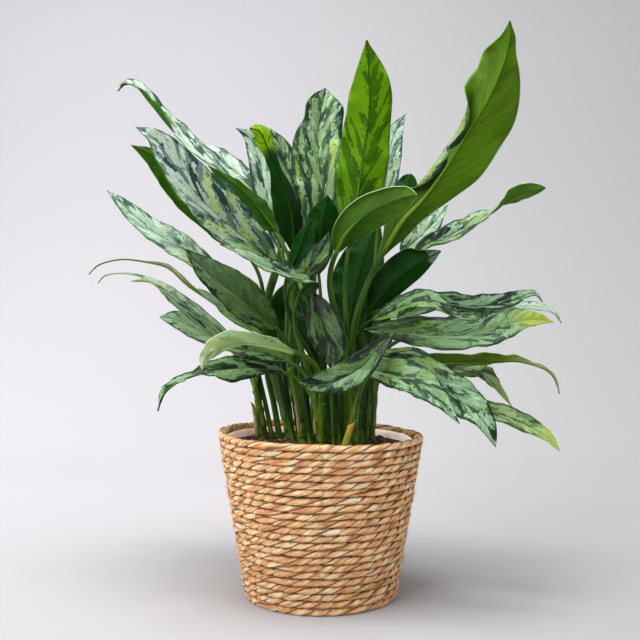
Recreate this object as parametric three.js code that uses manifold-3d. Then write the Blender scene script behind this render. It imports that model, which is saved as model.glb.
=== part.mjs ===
// A potted Chinese evergreen: a tapered basket of coiled seagrass rope, its plastic liner, the soil,
// leafy stems that stand in holes in the soil, and a leaf blade at the end of each stalk.
// Units are millimetres, +Z is up, and the origin is the middle of the basket's flat underside.

import * as THREE from "three";
import { mergeVertices } from "three/addons/utils/BufferGeometryUtils.js";
import Module from "manifold-3d";

const wasm = await Module();
wasm.setup();

// Driving dimensions
const basketHeight = 161;
const basketFootRadius = 76;
const basketRimRadius = 103;
const ropeRows = 23;
const ropeThickness = 8;
const ropeGroove = 2;
const rimTilt = 0.00015;
const linerThickness = 0.8;
const linerBelowRim = 5;
const fitGap = 0.4;
const soilTop = 148;
const soilRelief = 1.6;
const stemDepth = 45;
const seatGap = 0.35;
const bladeThickness = 0.9;
const ribThickness = 1.5;
const stalkRadius = 3;
const stalkEndRadius = 1.8;
const stalkPull = 0.4;
const caneTaper = 0.7;
const baseHalfWidth = 1.8;
const tipHalfWidth = 0.7;
const usualBroad = 0.4;
const usualSlim = 1.8;
const usualFold = 18;
const waveShare = 0.07;
const wavesAlong = 2.5;

// How finely the faceted solids follow their curves
const basketSides = 36;
const soilRings = 5;
const caneSides = 8;
const caneSteps = 7;
const stalkSides = 5;
const stalkSteps = 6;
const bladeSteps = 10;

// The plant is laid out as it is seen from a point in front of the basket, in the upright plane
// through the basket's axis, so each place is given across, up and by its depth behind that plane.
const eyeDistance = 889;
const eyeHeight = 272;

function place([across, up, depth]) {
  const spread = 1 + depth / eyeDistance;
  return new THREE.Vector3(across * spread, depth, eyeHeight + (up - eyeHeight) * spread);
}

// Each stem has a foot in the soil, a cane that climbs to its top, and leaves. Each leaf has:
//   from: how far up the cane its stalk leaves it, 0 to 1
//   rib: the places that the middle of its blade runs through, from base to tip
//   width: the blade's full width where it is broadest
//   turn: degrees that the blade is turned about its rib, from base to tip. 0 shows its upper side to
//     the front and 180 its lower side.
//   broad: how far along the blade is broadest, 0 to 1
//   slim: how quickly the blade narrows from there to its ends
//   fold: degrees that each half is lifted from flat, or folds with one value for each half
//   halves: the widths of the two halves from base to tip, for a blade with uneven edges
//   stout: how many times as thick as the usual stalk its own is
const stems = [
  {
    name: "left_outer",
    foot: [-60, 24],
    top: [-65, 208, 26],
    radius: 3.6,
    leaves: [
      {
        name: "long_tip",
        from: 0.9,
        rib: [
          [-59, 257, 10], [-86, 274, 8], [-109, 291, 4], [-133, 307, -2], [-152, 324, -8],
          [-174, 330, -16], [-198, 333, -26], [-221, 328, -38], [-232, 318, -46],
        ],
        turn: [30, 55, 115, 100, 92, 90],
        halves: [[2, 8, 11, 10, 6, 6, 3, 1, 1, 1, 1], [2, 8, 11, 10, 6, 6, 3, 1, 1, 1, 1]],
      },
      {
        name: "hooked",
        from: 0.75,
        rib: [
          [-83, 247, 26], [-108, 267, 32], [-130, 284, 38], [-148, 297, 42], [-163, 307, 46],
          [-180, 315, 52], [-198, 319, 58], [-215, 317, 64], [-223, 309, 66],
        ],
        turn: [40, 45, 65, 80],
        halves: [[2, 6, 8, 8, 7, 6, 4, 2, 1, 1, 1], [2, 6, 8, 8, 7, 6, 4, 2, 1, 1, 1]],
      },
      {
        name: "twisted",
        from: 0.6,
        rib: [
          [-92, 244, 46], [-131, 277, 60], [-156, 299, 70], [-171, 310, 78], [-190, 311, 86],
        ],
        width: 16,
        turn: [40, 60, 150],
      },
      {
        name: "low",
        from: 0.5,
        rib: [
          [-76, 238, 62], [-101, 252, 76], [-123, 262, 90], [-143, 272, 102], [-161, 275, 110],
        ],
        width: 28,
        turn: [25],
        broad: 0.5,
      },
    ],
  },
  {
    name: "left_back",
    foot: [-33, 36],
    top: [-56, 240, 38],
    radius: 4.6,
    leaves: [
      {
        name: "high",
        from: 1,
        rib: [
          [-56, 390, 58], [-86, 412, 66], [-115, 434, 72], [-141, 456, 76], [-164, 481, 78],
          [-182, 504, 78], [-195, 508, 76], [-203, 501, 72],
        ],
        width: 30,
        turn: [55, 55, 65],
        slim: 1.5,
      },
      {
        name: "behind",
        from: 0.9,
        rib: [
          [-50, 380, 78], [-74, 404, 92], [-98, 432, 106], [-120, 449, 116],
        ],
        width: 36,
        turn: [40],
      },
      {
        name: "pale",
        from: 0.6,
        rib: [
          [-86, 300, 14], [-121, 330, 22], [-145, 347, 28], [-171, 363, 32], [-197, 386, 34],
          [-214, 402, 34],
        ],
        width: 30,
        turn: [30],
      },
      {
        name: "dark",
        from: 0.75,
        rib: [
          [-78, 342, 12], [-122, 384, 8], [-148, 416, 2], [-168, 436, -4], [-190, 447, -8],
        ],
        width: 32,
        turn: [200],
      },
    ],
  },
  {
    name: "left",
    foot: [-18, 8],
    top: [-30, 225, 4],
    radius: 5,
    leaves: [
      {
        name: "big",
        from: 0.9,
        rib: [
          [-44, 328, -6], [-69, 349, -18], [-91, 366, -30], [-111, 385, -42], [-129, 404, -54],
          [-149, 431, -68], [-166, 453, -78], [-185, 465, -86],
        ],
        width: 54,
        turn: [20],
      },
      {
        name: "lower",
        from: 0.5,
        rib: [
          [-45, 264, -16], [-66, 282, -26], [-91, 303, -38], [-116, 323, -50], [-137, 344, -60],
        ],
        width: 40,
        turn: [20],
      },
      {
        name: "dark",
        from: 0.8,
        rib: [
          [-45, 360, 16], [-63, 384, 21], [-83, 404, 25], [-113, 427, 27],
        ],
        width: 34,
        turn: [215],
      },
      {
        name: "narrow",
        from: 1,
        rib: [
          [-39, 342, 30], [-49, 376, 40], [-56, 406, 46], [-62, 434, 48], [-71, 454, 46],
          [-85, 464, 40],
        ],
        width: 30,
        turn: [15],
      },
    ],
  },
  {
    name: "front_left",
    foot: [1, -12],
    top: [-6, 195, -18],
    radius: 4,
    leaves: [
      {
        name: "curled",
        from: 0.1,
        rib: [
          [-27, 240, -62], [-47, 245, -68], [-66, 248, -74], [-86, 248, -80], [-104, 243, -86],
          [-115, 235, -90], [-119, 222, -94],
        ],
        width: 28,
        turn: [120, 125, 150, 120],
        stout: 1.4,
        broad: 0.45,
      },
      {
        name: "dark",
        from: 0.6,
        rib: [
          [-34, 231, -34], [-59, 239, -42], [-80, 243, -50], [-102, 243, -58],
        ],
        width: 24,
        turn: [40],
      },
      {
        name: "drooping",
        from: 0.4,
        rib: [
          [-36, 219, -20], [-54, 223, -26], [-72, 224, -32], [-90, 223, -38], [-108, 221, -44],
          [-121, 218, -50], [-136, 213, -56], [-149, 206, -62], [-158, 196, -66], [-163, 181, -70],
        ],
        turn: [20, 25, 40, 70, 72, 70],
        halves: [[2, 6, 13, 18, 15, 12, 10, 8, 5, 1], [2, 11, 14, 13, 11, 9, 9, 9, 6, 1]],
      },
      {
        name: "forward",
        from: 1,
        rib: [
          [-20, 299, -58], [-14, 309, -66], [-27, 315, -80], [-52, 324, -93], [-75, 336, -102],
          [-101, 348, -108],
        ],
        width: 30,
        turn: [130, 100, 60, 55, 55, 55],
        broad: 0.35,
      },
    ],
  },
  {
    name: "centre",
    foot: [12, 6],
    top: [0, 235, 4],
    radius: 5.5,
    leaves: [
      {
        name: "yellow_tip",
        from: 0.8,
        rib: [
          [-28, 340, -12], [-28, 366, -14], [-34, 394, -16], [-43, 420, -19], [-53, 444, -23],
          [-61, 460, -27], [-71, 464, -31],
        ],
        turn: [205],
        halves: [[2, 12, 14, 11, 7, 8, 12, 9, 1], [2, 13, 17, 14, 8, 7, 10, 8, 1]],
      },
      {
        name: "behind",
        from: 0.95,
        rib: [
          [-15, 352, 52], [-22, 387, 58], [-31, 417, 64], [-40, 445, 68], [-51, 464, 68],
        ],
        width: 36,
        turn: [-15],
      },
      {
        name: "upright",
        from: 1,
        rib: [
          [-3, 350, 34], [2, 392, 42], [-1, 427, 50], [-3, 455, 56], [1, 484, 60], [5, 504, 62],
        ],
        turn: [0],
        fold: 22,
        halves: [[2, 19, 30, 33, 32, 30, 25, 18, 18, 12, 1], [2, 19, 30, 32, 32, 30, 28, 27, 25, 14, 1]],
      },
      {
        name: "inner",
        from: 0.7,
        rib: [
          [-31, 322, -30], [-22, 340, -34], [-15, 358, -36], [-8, 373, -38],
        ],
        width: 26,
        turn: [150],
      },
      {
        name: "short",
        from: 0.9,
        rib: [
          [-4, 345, -20], [1, 366, -24], [5, 382, -28], [7, 397, -32],
        ],
        width: 34,
        turn: [180],
      },
      {
        name: "rising",
        from: 0.55,
        rib: [
          [-21, 316, -42], [-12, 323, -42], [-2, 335, -42], [5, 348, -42], [8, 360, -42],
        ],
        width: 24,
        turn: [-30],
      },
      {
        name: "hanging",
        from: 0.6,
        rib: [
          [-8, 300, -62], [-1, 280, -68], [6, 258, -72], [11, 240, -74], [10, 224, -74],
        ],
        width: 34,
        turn: [0],
        broad: 0.5,
      },
    ],
  },
  {
    name: "centre_right",
    foot: [30, 10],
    top: [27, 240, 4],
    radius: 5,
    leaves: [
      {
        name: "tallest",
        from: 0.2,
        rib: [
          [62, 338, -12], [81, 370, -21], [103, 394, -30], [126, 425, -40], [148, 459, -50],
          [168, 492, -60], [183, 528, -70], [189, 552, -76], [189, 571, -80],
        ],
        turn: [180],
        stout: 1.5,
        folds: [8, 55],
        halves: [[3, 13, 14, 22, 32, 33, 32, 22, 9, 5, 1], [5, 24, 26, 24, 22, 22, 30, 34, 30, 13, 1]],
      },
      {
        name: "backlit",
        from: 1,
        rib: [
          [28, 345, 12], [36, 392, 12], [41, 425, 10], [46, 457, 6], [49, 490, 0], [48, 525, -8],
          [46, 552, -14],
        ],
        turn: [180],
        fold: 10,
        halves: [[2, 15, 23, 26, 26, 24, 23, 23, 18, 9, 1], [2, 15, 23, 25, 25, 25, 23, 21, 14, 7, 1]],
      },
      {
        name: "forward",
        from: 0.8,
        rib: [
          [15, 338, -50], [24, 357, -62], [42, 375, -74], [64, 387, -86], [84, 395, -96],
          [97, 397, -104],
        ],
        width: 36,
        turn: [190],
        stout: 1.4,
        broad: 0.45,
      },
    ],
  },
  {
    name: "right_back",
    foot: [53, 46],
    top: [54, 235, 38],
    radius: 4.5,
    leaves: [
      {
        name: "narrow",
        from: 1,
        rib: [
          [59, 372, 50], [65, 410, 58], [69, 440, 66], [75, 461, 72], [85, 478, 76],
        ],
        width: 28,
        turn: [0],
      },
      {
        name: "small",
        from: 0.8,
        rib: [
          [80, 338, 34], [98, 354, 42], [112, 368, 50], [127, 387, 56],
        ],
        width: 30,
        turn: [-30],
      },
      {
        name: "long_wavy",
        from: 0.65,
        rib: [
          [88, 330, 8], [105, 347, 16], [123, 354, 24], [139, 362, 32], [157, 371, 38], [174, 381, 44],
          [186, 391, 48], [200, 398, 52], [214, 402, 56], [225, 404, 60],
        ],
        width: 28,
        turn: [-40, -35, -40, -70, -115, -150, -160],
        slim: 1.4,
        broad: 0.5,
      },
      {
        name: "rounded",
        from: 0.9,
        rib: [
          [66, 360, 30], [74, 380, 38], [84, 400, 46], [91, 418, 52],
        ],
        width: 28,
        turn: [180],
        broad: 0.6,
        slim: 1.2,
      },
    ],
  },
  {
    name: "right",
    foot: [44, 14],
    top: [46, 222, 10],
    radius: 4.6,
    leaves: [
      {
        name: "dark",
        from: 1,
        rib: [
          [47, 280, 8], [63, 300, 0], [82, 317, -8], [102, 331, -17], [120, 341, -26],
        ],
        turn: [180],
        halves: [[2, 9, 13, 14, 14, 13, 10, 6, 1], [2, 11, 18, 21, 22, 21, 17, 10, 1]],
      },
      {
        name: "upper",
        from: 0.9,
        rib: [
          [74, 266, 26], [97, 282, 32], [122, 289, 38], [144, 286, 42], [165, 286, 48], [186, 290, 54],
          [201, 296, 58], [214, 298, 60], [222, 290, 62],
        ],
        width: 30,
        turn: [-45],
        broad: 0.35,
      },
      {
        name: "thin",
        from: 0.7,
        rib: [
          [99, 260, 50], [149, 278, 66], [186, 284, 80], [214, 285, 90], [232, 280, 96],
          [241, 269, 100],
        ],
        width: 16,
        turn: [-50],
      },
      {
        name: "arching",
        from: 0.85,
        rib: [
          [52, 272, -34], [71, 280, -40], [88, 288, -46], [103, 291, -52], [117, 287, -58],
          [130, 279, -64], [149, 271, -70],
        ],
        width: 26,
        turn: [-40],
      },
      {
        name: "big",
        from: 0.75,
        rib: [
          [46, 262, -20], [82, 260, -30], [119, 256, -38], [155, 258, -46], [176, 263, -50],
          [196, 270, -54], [216, 272, -58], [233, 270, -60],
        ],
        width: 42,
        turn: [-35],
      },
    ],
  },
  {
    name: "front_right",
    foot: [31, -20],
    top: [36, 205, -24],
    radius: 4.6,
    leaves: [
      {
        name: "olive",
        from: 1,
        rib: [
          [64, 236, 0], [94, 231, 2], [126, 230, 4], [155, 230, 6], [176, 230, 8], [194, 231, 10],
          [210, 228, 12], [226, 222, 12], [235, 212, 12], [239, 198, 10],
        ],
        width: 26,
        turn: [-130, -125, -115, -100, -80, -60],
        broad: 0.35,
      },
      {
        name: "front",
        from: 0.35,
        rib: [
          [34, 226, -52], [67, 219, -64], [88, 213, -76], [105, 203, -86], [121, 189, -94],
          [139, 168, -102],
        ],
        width: 34,
        turn: [-25],
      },
      {
        name: "long",
        from: 0.8,
        rib: [
          [39, 239, -36], [69, 234, -49], [92, 229, -56], [109, 216, -64], [126, 202, -72],
          [142, 190, -78], [155, 180, -84], [166, 166, -88], [175, 145, -92],
        ],
        width: 38,
        turn: [-20],
        broad: 0.5,
      },
      {
        name: "outer",
        from: 0.7,
        rib: [
          [99, 228, 26], [129, 223, 24], [157, 220, 22], [168, 213, 20], [178, 202, 18],
          [192, 184, 16],
        ],
        width: 24,
        turn: [-45],
      },
      {
        name: "yellow_edge",
        from: 0.9,
        rib: [
          [118, 198, -22], [140, 190, -26], [162, 183, -32], [184, 176, -38], [209, 165, -44],
          [226, 155, -50], [239, 141, -54],
        ],
        width: 22,
        turn: [-35],
        broad: 0.5,
      },
      {
        name: "crossing",
        from: 0.65,
        rib: [
          [70, 256, -62], [54, 240, -73], [39, 224, -80], [17, 212, -88], [-5, 208, -94],
          [-22, 210, -98],
        ],
        width: 28,
        turn: [15],
        broad: 0.5,
      },
    ],
  },
  {
    name: "back",
    foot: [5, 54],
    top: [2, 225, 62],
    radius: 5,
    leaves: [
      {
        name: "left",
        from: 1,
        rib: [
          [-20, 300, 86], [-44, 330, 104], [-70, 352, 124], [-92, 362, 144], [-106, 360, 160],
        ],
        width: 54,
        turn: [60],
      },
      {
        name: "upright",
        from: 1,
        rib: [
          [-2, 318, 90], [-6, 354, 104], [-8, 392, 118], [-6, 424, 134], [-4, 442, 150],
        ],
        width: 54,
        turn: [180],
      },
      {
        name: "right",
        from: 1,
        rib: [
          [26, 262, 70], [32, 292, 78], [40, 322, 88], [49, 350, 100], [58, 378, 114],
        ],
        width: 60,
        turn: [180],
      },
      {
        name: "low_right",
        from: 0.7,
        rib: [
          [18, 276, 90], [30, 290, 106], [42, 282, 124], [50, 256, 140], [52, 224, 150],
          [50, 194, 155],
        ],
        width: 56,
        turn: [0],
        broad: 0.45,
      },
      {
        name: "low_left",
        from: 0.7,
        rib: [
          [-8, 276, 90], [-18, 292, 106], [-28, 284, 124], [-34, 256, 140], [-36, 224, 150],
          [-36, 194, 155],
        ],
        width: 56,
        turn: [0],
        broad: 0.45,
      },
    ],
  },
];

const sameCorner = 1e-4;

// Geometry with only its places kept and its shared corners joined
function joined(geometry) {
  geometry.deleteAttribute("normal");
  geometry.deleteAttribute("uv");
  return mergeVertices(geometry, sameCorner);
}

function toSolid(geometry) {
  const merged = joined(geometry);
  return new wasm.Manifold(
    new wasm.Mesh({
      numProp: 3,
      vertProperties: merged.attributes.position.array,
      triVerts: new Uint32Array(merged.index.array),
    }),
  );
}

function toGeometry(solid) {
  const mesh = solid.getMesh();
  const geometry = new THREE.BufferGeometry();
  geometry.setAttribute("position", new THREE.BufferAttribute(mesh.vertProperties, 3));
  geometry.setIndex(new THREE.BufferAttribute(mesh.triVerts, 1));
  geometry.computeVertexNormals();
  return geometry;
}

// Moves every corner of a geometry to where rule puts it
function reshape(geometry, rule) {
  const corners = geometry.attributes.position;
  const corner = new THREE.Vector3();
  for (let i = 0; i < corners.count; i++) {
    rule(corner.fromBufferAttribute(corners, i));
    corners.setXYZ(i, corner.x, corner.y, corner.z);
  }
  return geometry;
}

// A closed round bar bent along a curve, from one radius to the other
function bentBar(curve, startRadius, endRadius, sides, steps) {
  const bar = new THREE.CylinderGeometry(endRadius, startRadius, 1, sides, steps);
  const frames = curve.computeFrenetFrames(steps);
  return reshape(bar, (corner) => {
    const step = Math.round((corner.y + 0.5) * steps);
    const { x, z } = corner;
    corner.copy(curve.getPointAt(step / steps));
    corner.addScaledVector(frames.normals[step], x);
    corner.addScaledVector(frames.binormals[step], -z);
  });
}

// The basket, its liner and the soil lean a little together, so the left of the rim is the higher side
function lean(corner) {
  corner.z *= 1 - rimTilt * corner.x;
}

function turned(profile) {
  const points = profile.map(([radius, height]) => new THREE.Vector2(radius, height));
  const geometry = new THREE.LatheGeometry(points, basketSides);
  geometry.rotateX(Math.PI / 2);
  return joined(geometry);
}

function basketRadius(height) {
  return basketFootRadius + ((basketRimRadius - basketFootRadius) * height) / basketHeight;
}

const ropePitch = basketHeight / ropeRows;
const floorTop = ropeThickness;

function basket() {
  const profile = [[0, 0], [basketFootRadius - ropeGroove, 0]];
  for (let row = 0; row < ropeRows; row++) {
    const middle = (row + 0.5) * ropePitch;
    profile.push([basketRadius(middle), middle]);
    const seam = (row + 1) * ropePitch;
    profile.push([basketRadius(seam) - ropeGroove, seam]);
  }
  const lip = ropePitch / 2;
  profile.push([basketRimRadius - ropeThickness + ropeGroove, basketHeight]);
  profile.push([basketRimRadius - ropeThickness, basketHeight - lip]);
  profile.push([basketRadius(floorTop) - ropeThickness, floorTop]);
  profile.push([0, floorTop]);
  return reshape(turned(profile), lean);
}

function linerRadius(height) {
  return basketRadius(height) - ropeThickness - fitGap;
}

const linerTop = basketHeight - linerBelowRim;
const linerFoot = floorTop + fitGap;

function liner() {
  const inside = linerFoot + linerThickness;
  return reshape(
    turned([
      [0, linerFoot],
      [linerRadius(linerFoot), linerFoot],
      [linerRadius(linerTop), linerTop],
      [linerRadius(linerTop) - linerThickness, linerTop],
      [linerRadius(inside) - linerThickness, inside],
      [0, inside],
    ]),
    lean,
  );
}

function soilRadius(height) {
  return linerRadius(height) - linerThickness - fitGap;
}

const soilFoot = linerFoot + linerThickness + fitGap;

// The height of the soil's bumps at a place, 0 at its edge
function bumps(x, y) {
  const inward = 1 - Math.hypot(x, y) / soilRadius(soilTop);
  const waves = Math.sin(x / 9) * Math.cos(y / 11) + Math.sin((x + y) / 6);
  return soilRelief * waves * Math.min(1, inward * 4);
}

function soil() {
  const profile = [[0, soilFoot], [soilRadius(soilFoot), soilFoot]];
  for (let ring = soilRings; ring >= 0; ring--) {
    profile.push([(soilRadius(soilTop) * ring) / soilRings, soilTop]);
  }
  const bed = reshape(turned(profile), (corner) => {
    if (corner.z > soilTop - soilRelief) corner.z += bumps(corner.x, corner.y);
    lean(corner);
  });
  let solid = toSolid(bed);
  for (const { foot, radius } of [...stems, stub]) {
    solid = solid.subtract(toSolid(plug(foot, radius + seatGap, stemDepth + seatGap, 2 * stemDepth)));
  }
  return toGeometry(solid);
}

// The straight end of a stem in the soil, or the hole for it
function plug([x, y], radius, below, above) {
  const bar = new THREE.CylinderGeometry(radius, radius, below + above, caneSides);
  bar.rotateX(Math.PI / 2);
  bar.translate(x, y, soilTop + (above - below) / 2);
  return bar;
}

// A cut stalk that still stands among the stems
const stub = { foot: [19, -33], top: [31, 168, -33], radius: 3 };

// A stem is straight to this height above the soil
const collar = 6;

function caneCurve({ foot, top }) {
  const low = new THREE.Vector3(foot[0], foot[1], soilTop + collar / 2);
  const high = place(top);
  const rise = high.z - low.z;
  const lowPull = low.clone().add(new THREE.Vector3(0, 0, rise / 3));
  const highPull = low.clone().lerp(high, 2 / 3);
  return new THREE.CubicBezierCurve3(low, lowPull, highPull, high);
}

function bladeCurve(rib) {
  return new THREE.CatmullRomCurve3(rib.map(place), false, "catmullrom", 0.5);
}

// A stalk leaves its cane upwards and meets the blade in the direction of its rib
function stalkCurve(stem, leaf) {
  const cane = caneCurve(stem);
  const rib = bladeCurve(leaf.rib);
  const start = cane.getPointAt(leaf.from);
  const along = rib.getTangent(0);
  const end = rib.getPoint(0).addScaledVector(along, -seatGap);
  const pull = start.distanceTo(end) * stalkPull;
  const startPull = start.clone().addScaledVector(cane.getTangentAt(leaf.from), pull);
  const endPull = end.clone().addScaledVector(along, -pull);
  return new THREE.CubicBezierCurve3(start, startPull, endPull, end);
}

function stem(plan) {
  const { foot, radius, leaves = [] } = plan;
  const topRadius = leaves.length ? Math.max(stalkRadius, radius * caneTaper) : radius;
  let solid = toSolid(plug(foot, radius, stemDepth, collar));
  solid = solid.add(toSolid(bentBar(caneCurve(plan), radius, topRadius, caneSides, caneSteps)));
  for (const leaf of leaves) {
    const { stout = 1 } = leaf;
    const curve = stalkCurve(plan, leaf);
    const stalk = bentBar(curve, stalkRadius * stout, stalkEndRadius * stout, stalkSides, stalkSteps);
    solid = solid.add(toSolid(stalk));
  }
  return toGeometry(solid);
}

// How much of its full width a blade has at a place along it, with a wedge at the base and a long point
function bladeShape(along, broad, slim) {
  const rise = broad * slim;
  const fall = (1 - broad) * slim;
  const peak = broad ** rise * (1 - broad) ** fall;
  return (along ** rise * (1 - along) ** fall) / peak;
}

// The value at a place along a list that is spread evenly from 0 to 1
function spreadAlong(values, along) {
  const at = along * (values.length - 1);
  const low = Math.floor(at);
  const high = Math.min(low + 1, values.length - 1);
  return THREE.MathUtils.lerp(values[low], values[high], at - low);
}

const front = new THREE.Vector3(0, -1, 0);

// The widths of a blade's two halves at a place along it
function halfWidths({ width, broad = usualBroad, slim = usualSlim, halves }, along) {
  if (halves) return halves.map((half) => spreadAlong(half, along));
  const least = THREE.MathUtils.lerp(baseHalfWidth, tipHalfWidth, along);
  const half = Math.max(least, (width / 2) * bladeShape(along, broad, slim));
  return [half, half];
}

// The six corners of a blade's cross-section: its left edge, rib and right edge above, then the
// right edge, rib and left edge below
function bladeRing(curve, leaf, along) {
  const { turn, fold = usualFold, folds = [fold, fold] } = leaf;
  const centre = curve.getPoint(along);
  const forward = curve.getTangent(along);
  const facing = front.clone().addScaledVector(forward, -front.dot(forward)).normalize();
  facing.applyAxisAngle(forward, THREE.MathUtils.degToRad(spreadAlong(turn, along)));
  const side = new THREE.Vector3().crossVectors(forward, facing);
  const above = [];
  const below = [];
  const pushBoth = (point, normal, thick) => {
    above.push(point.clone().addScaledVector(normal, thick / 2));
    below.unshift(point.clone().addScaledVector(normal, -thick / 2));
  };
  const edge = (hand, half, degrees) => {
    const lift = THREE.MathUtils.degToRad(degrees);
    const out = side.clone().multiplyScalar(hand);
    const wave = waveShare * half * Math.sin(2 * Math.PI * wavesAlong * along + hand);
    const point = centre.clone().addScaledVector(out, half * Math.cos(lift));
    point.addScaledVector(facing, half * Math.sin(lift) + wave);
    const normal = facing.clone().multiplyScalar(Math.cos(lift)).addScaledVector(out, -Math.sin(lift));
    pushBoth(point, normal, bladeThickness);
  };
  const [first, second] = halfWidths(leaf, along);
  edge(-1, first, folds[0]);
  pushBoth(centre, facing, ribThickness);
  edge(1, second, folds[1]);
  return [...above, ...below];
}

// Even steps from 0 to 1, drawn closer together at both ends
function closerAtEnds(step) {
  return (step + (1 - Math.cos(Math.PI * step)) / 2) / 2;
}

// A blade through its rings. Its upper and lower faces are split along the same diagonals, and both
// ends are closed.
function blade(leaf) {
  const curve = bladeCurve(leaf.rib);
  const rings = [];
  for (let i = 0; i <= bladeSteps; i++) rings.push(bladeRing(curve, leaf, closerAtEnds(i / bladeSteps)));
  const round = rings[0].length;
  const splitOther = [false, true, false, false, true, false];
  const faces = [];
  for (let i = 0; i < bladeSteps; i++) {
    for (let j = 0; j < round; j++) {
      const next = (j + 1) % round;
      const a = i * round + j;
      const b = i * round + next;
      const c = a + round - j + next;
      const d = a + round;
      if (splitOther[j]) faces.push([a, b, d], [b, c, d]);
      else faces.push([a, b, c], [a, c, d]);
    }
  }
  const last = bladeSteps * round;
  for (const [a, b, c, d] of [[0, 1, 4, 5], [1, 2, 3, 4]]) {
    faces.push([a, c, b], [a, d, c]);
    faces.push([last + a, last + b, last + c], [last + a, last + c, last + d]);
  }
  const geometry = new THREE.BufferGeometry().setFromPoints(rings.flat());
  geometry.setIndex(faces.flat());
  geometry.computeVertexNormals();
  return geometry;
}

const looks = {
  seagrass: { color: 0xc89e63, roughness: 0.85 },
  film: { color: 0xd9d3cb, roughness: 0.5 },
  soil: { color: 0x2a2019, roughness: 1 },
  stalk: { color: 0x6f8f3a, roughness: 0.5 },
  cut: { color: 0xb58a3c, roughness: 0.7 },
  leaf: { color: 0x4d7a52, roughness: 0.4 },
};

const group = new THREE.Group();

function add(name, geometry, look) {
  const mesh = new THREE.Mesh(geometry, new THREE.MeshStandardMaterial({ ...looks[look], metalness: 0 }));
  mesh.name = name;
  group.add(mesh);
}

add("basket", basket(), "seagrass");
add("liner", liner(), "film");
add("soil", soil(), "soil");
add("cut_stub", stem(stub), "cut");
for (const plan of stems) {
  add(`stem_${plan.name}`, stem(plan), "stalk");
  for (const leaf of plan.leaves) add(`leaf_${plan.name}_${leaf.name}`, blade(leaf), "leaf");
}

export default group;
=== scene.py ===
# %% [markdown]
# # A Chinese evergreen in a seagrass basket
#
# This notebook dresses a CAD part in Blender. The CAD part gives every piece its place and size: a
# tapered basket, its liner, the soil, leafy stems and their blades. Each piece is made again here
# with the fine shape and the finish that the solids leave out: twisted rope, veins, marbling and
# crumbs of soil.
#
# The CAD part is loaded as a fixed frame, in metres, with +Z up.

import math
import random

import bmesh
import bpy
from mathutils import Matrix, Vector, noise
from mathutils.geometry import interpolate_bezier


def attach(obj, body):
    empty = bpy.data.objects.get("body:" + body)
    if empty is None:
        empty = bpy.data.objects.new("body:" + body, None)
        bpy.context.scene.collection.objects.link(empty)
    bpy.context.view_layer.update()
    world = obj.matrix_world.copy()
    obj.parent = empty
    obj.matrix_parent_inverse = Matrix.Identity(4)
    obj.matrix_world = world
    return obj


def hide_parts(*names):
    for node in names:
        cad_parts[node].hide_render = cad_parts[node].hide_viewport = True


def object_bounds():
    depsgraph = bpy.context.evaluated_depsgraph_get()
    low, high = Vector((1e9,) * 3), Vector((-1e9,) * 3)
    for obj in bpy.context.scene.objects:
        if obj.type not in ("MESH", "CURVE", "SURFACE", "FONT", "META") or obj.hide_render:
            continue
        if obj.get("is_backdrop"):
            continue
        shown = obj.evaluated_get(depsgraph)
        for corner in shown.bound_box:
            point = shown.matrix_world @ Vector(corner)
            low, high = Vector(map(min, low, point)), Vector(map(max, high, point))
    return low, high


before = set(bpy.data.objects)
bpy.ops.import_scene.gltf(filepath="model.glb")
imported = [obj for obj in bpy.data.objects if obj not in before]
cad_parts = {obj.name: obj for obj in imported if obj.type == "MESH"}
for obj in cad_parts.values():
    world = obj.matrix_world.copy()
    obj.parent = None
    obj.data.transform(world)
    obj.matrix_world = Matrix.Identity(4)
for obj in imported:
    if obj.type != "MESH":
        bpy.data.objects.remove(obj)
cad_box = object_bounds()
MM = 0.001
print("CAD nodes:", len(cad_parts), "box:", cad_box)

# %% [markdown]
# ## The camera
#
# The plant is seen from straight ahead, level with its middle. A 50 mm lens on a 36 mm sensor
# needs no shift when the camera stays level, so upright things stay upright in the picture.

# %% Camera
EYE_ACROSS, EYE_DISTANCE, EYE_HEIGHT = -0.7, 889, 272

scene = bpy.context.scene
camera = bpy.data.objects.new("camera", bpy.data.cameras.new("camera"))
scene.collection.objects.link(camera)
camera.location = (EYE_ACROSS * MM, -EYE_DISTANCE * MM, EYE_HEIGHT * MM)
camera.rotation_euler = (math.radians(90), 0, 0)
camera.data.lens = 50
camera.data.sensor_width = 36
scene.camera = camera
print("camera at", tuple(camera.location))

# %% [markdown]
# ## Helpers for meshes
#
# Rope, leaves, stalks and film are all sheets that were bent, so most pieces start from one flat
# grid whose corners a rule moves into place. A rule takes two numbers from 0 to 1, how far the
# corner is across and along the sheet. A tube is a sheet whose two sides meet, so its doubled
# corners are merged. Numbers that a finish needs later, such as how far a point is from the
# midrib, come from the rule too and are kept on the corners as attributes.

# %% Helpers for meshes
def new_sheet(rule, across, along, attributes=("share", "span")):
    """A grid of faces, its corners placed by the rule and keeping the rule's other values"""
    sheet = bmesh.new()
    for name in attributes:
        sheet.verts.layers.float_vector.new(name)
    layers = [sheet.verts.layers.float_vector[name] for name in attributes]
    bmesh.ops.create_grid(sheet, x_segments=across, y_segments=along, size=0.5)
    for corner in sheet.verts:
        corner.co, *values = rule(corner.co.x + 0.5, corner.co.y + 0.5)
        for layer, value in zip(layers, values):
            corner[layer] = value
    return sheet


def merge(shape, gap):
    """Merges the corners that are closer than a gap in millimetres"""
    bmesh.ops.remove_doubles(shape, verts=shape.verts, dist=gap * MM)
    return shape


def close_up(shape, gap, hole_sides=None):
    """Merges corners, fills holes of up to so many sides, and turns the faces outwards"""
    merge(shape, gap)
    if hole_sides is not None:
        bmesh.ops.holes_fill(shape, edges=shape.edges, sides=hole_sides)
    bmesh.ops.recalc_face_normals(shape, faces=shape.faces)
    return shape


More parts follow.
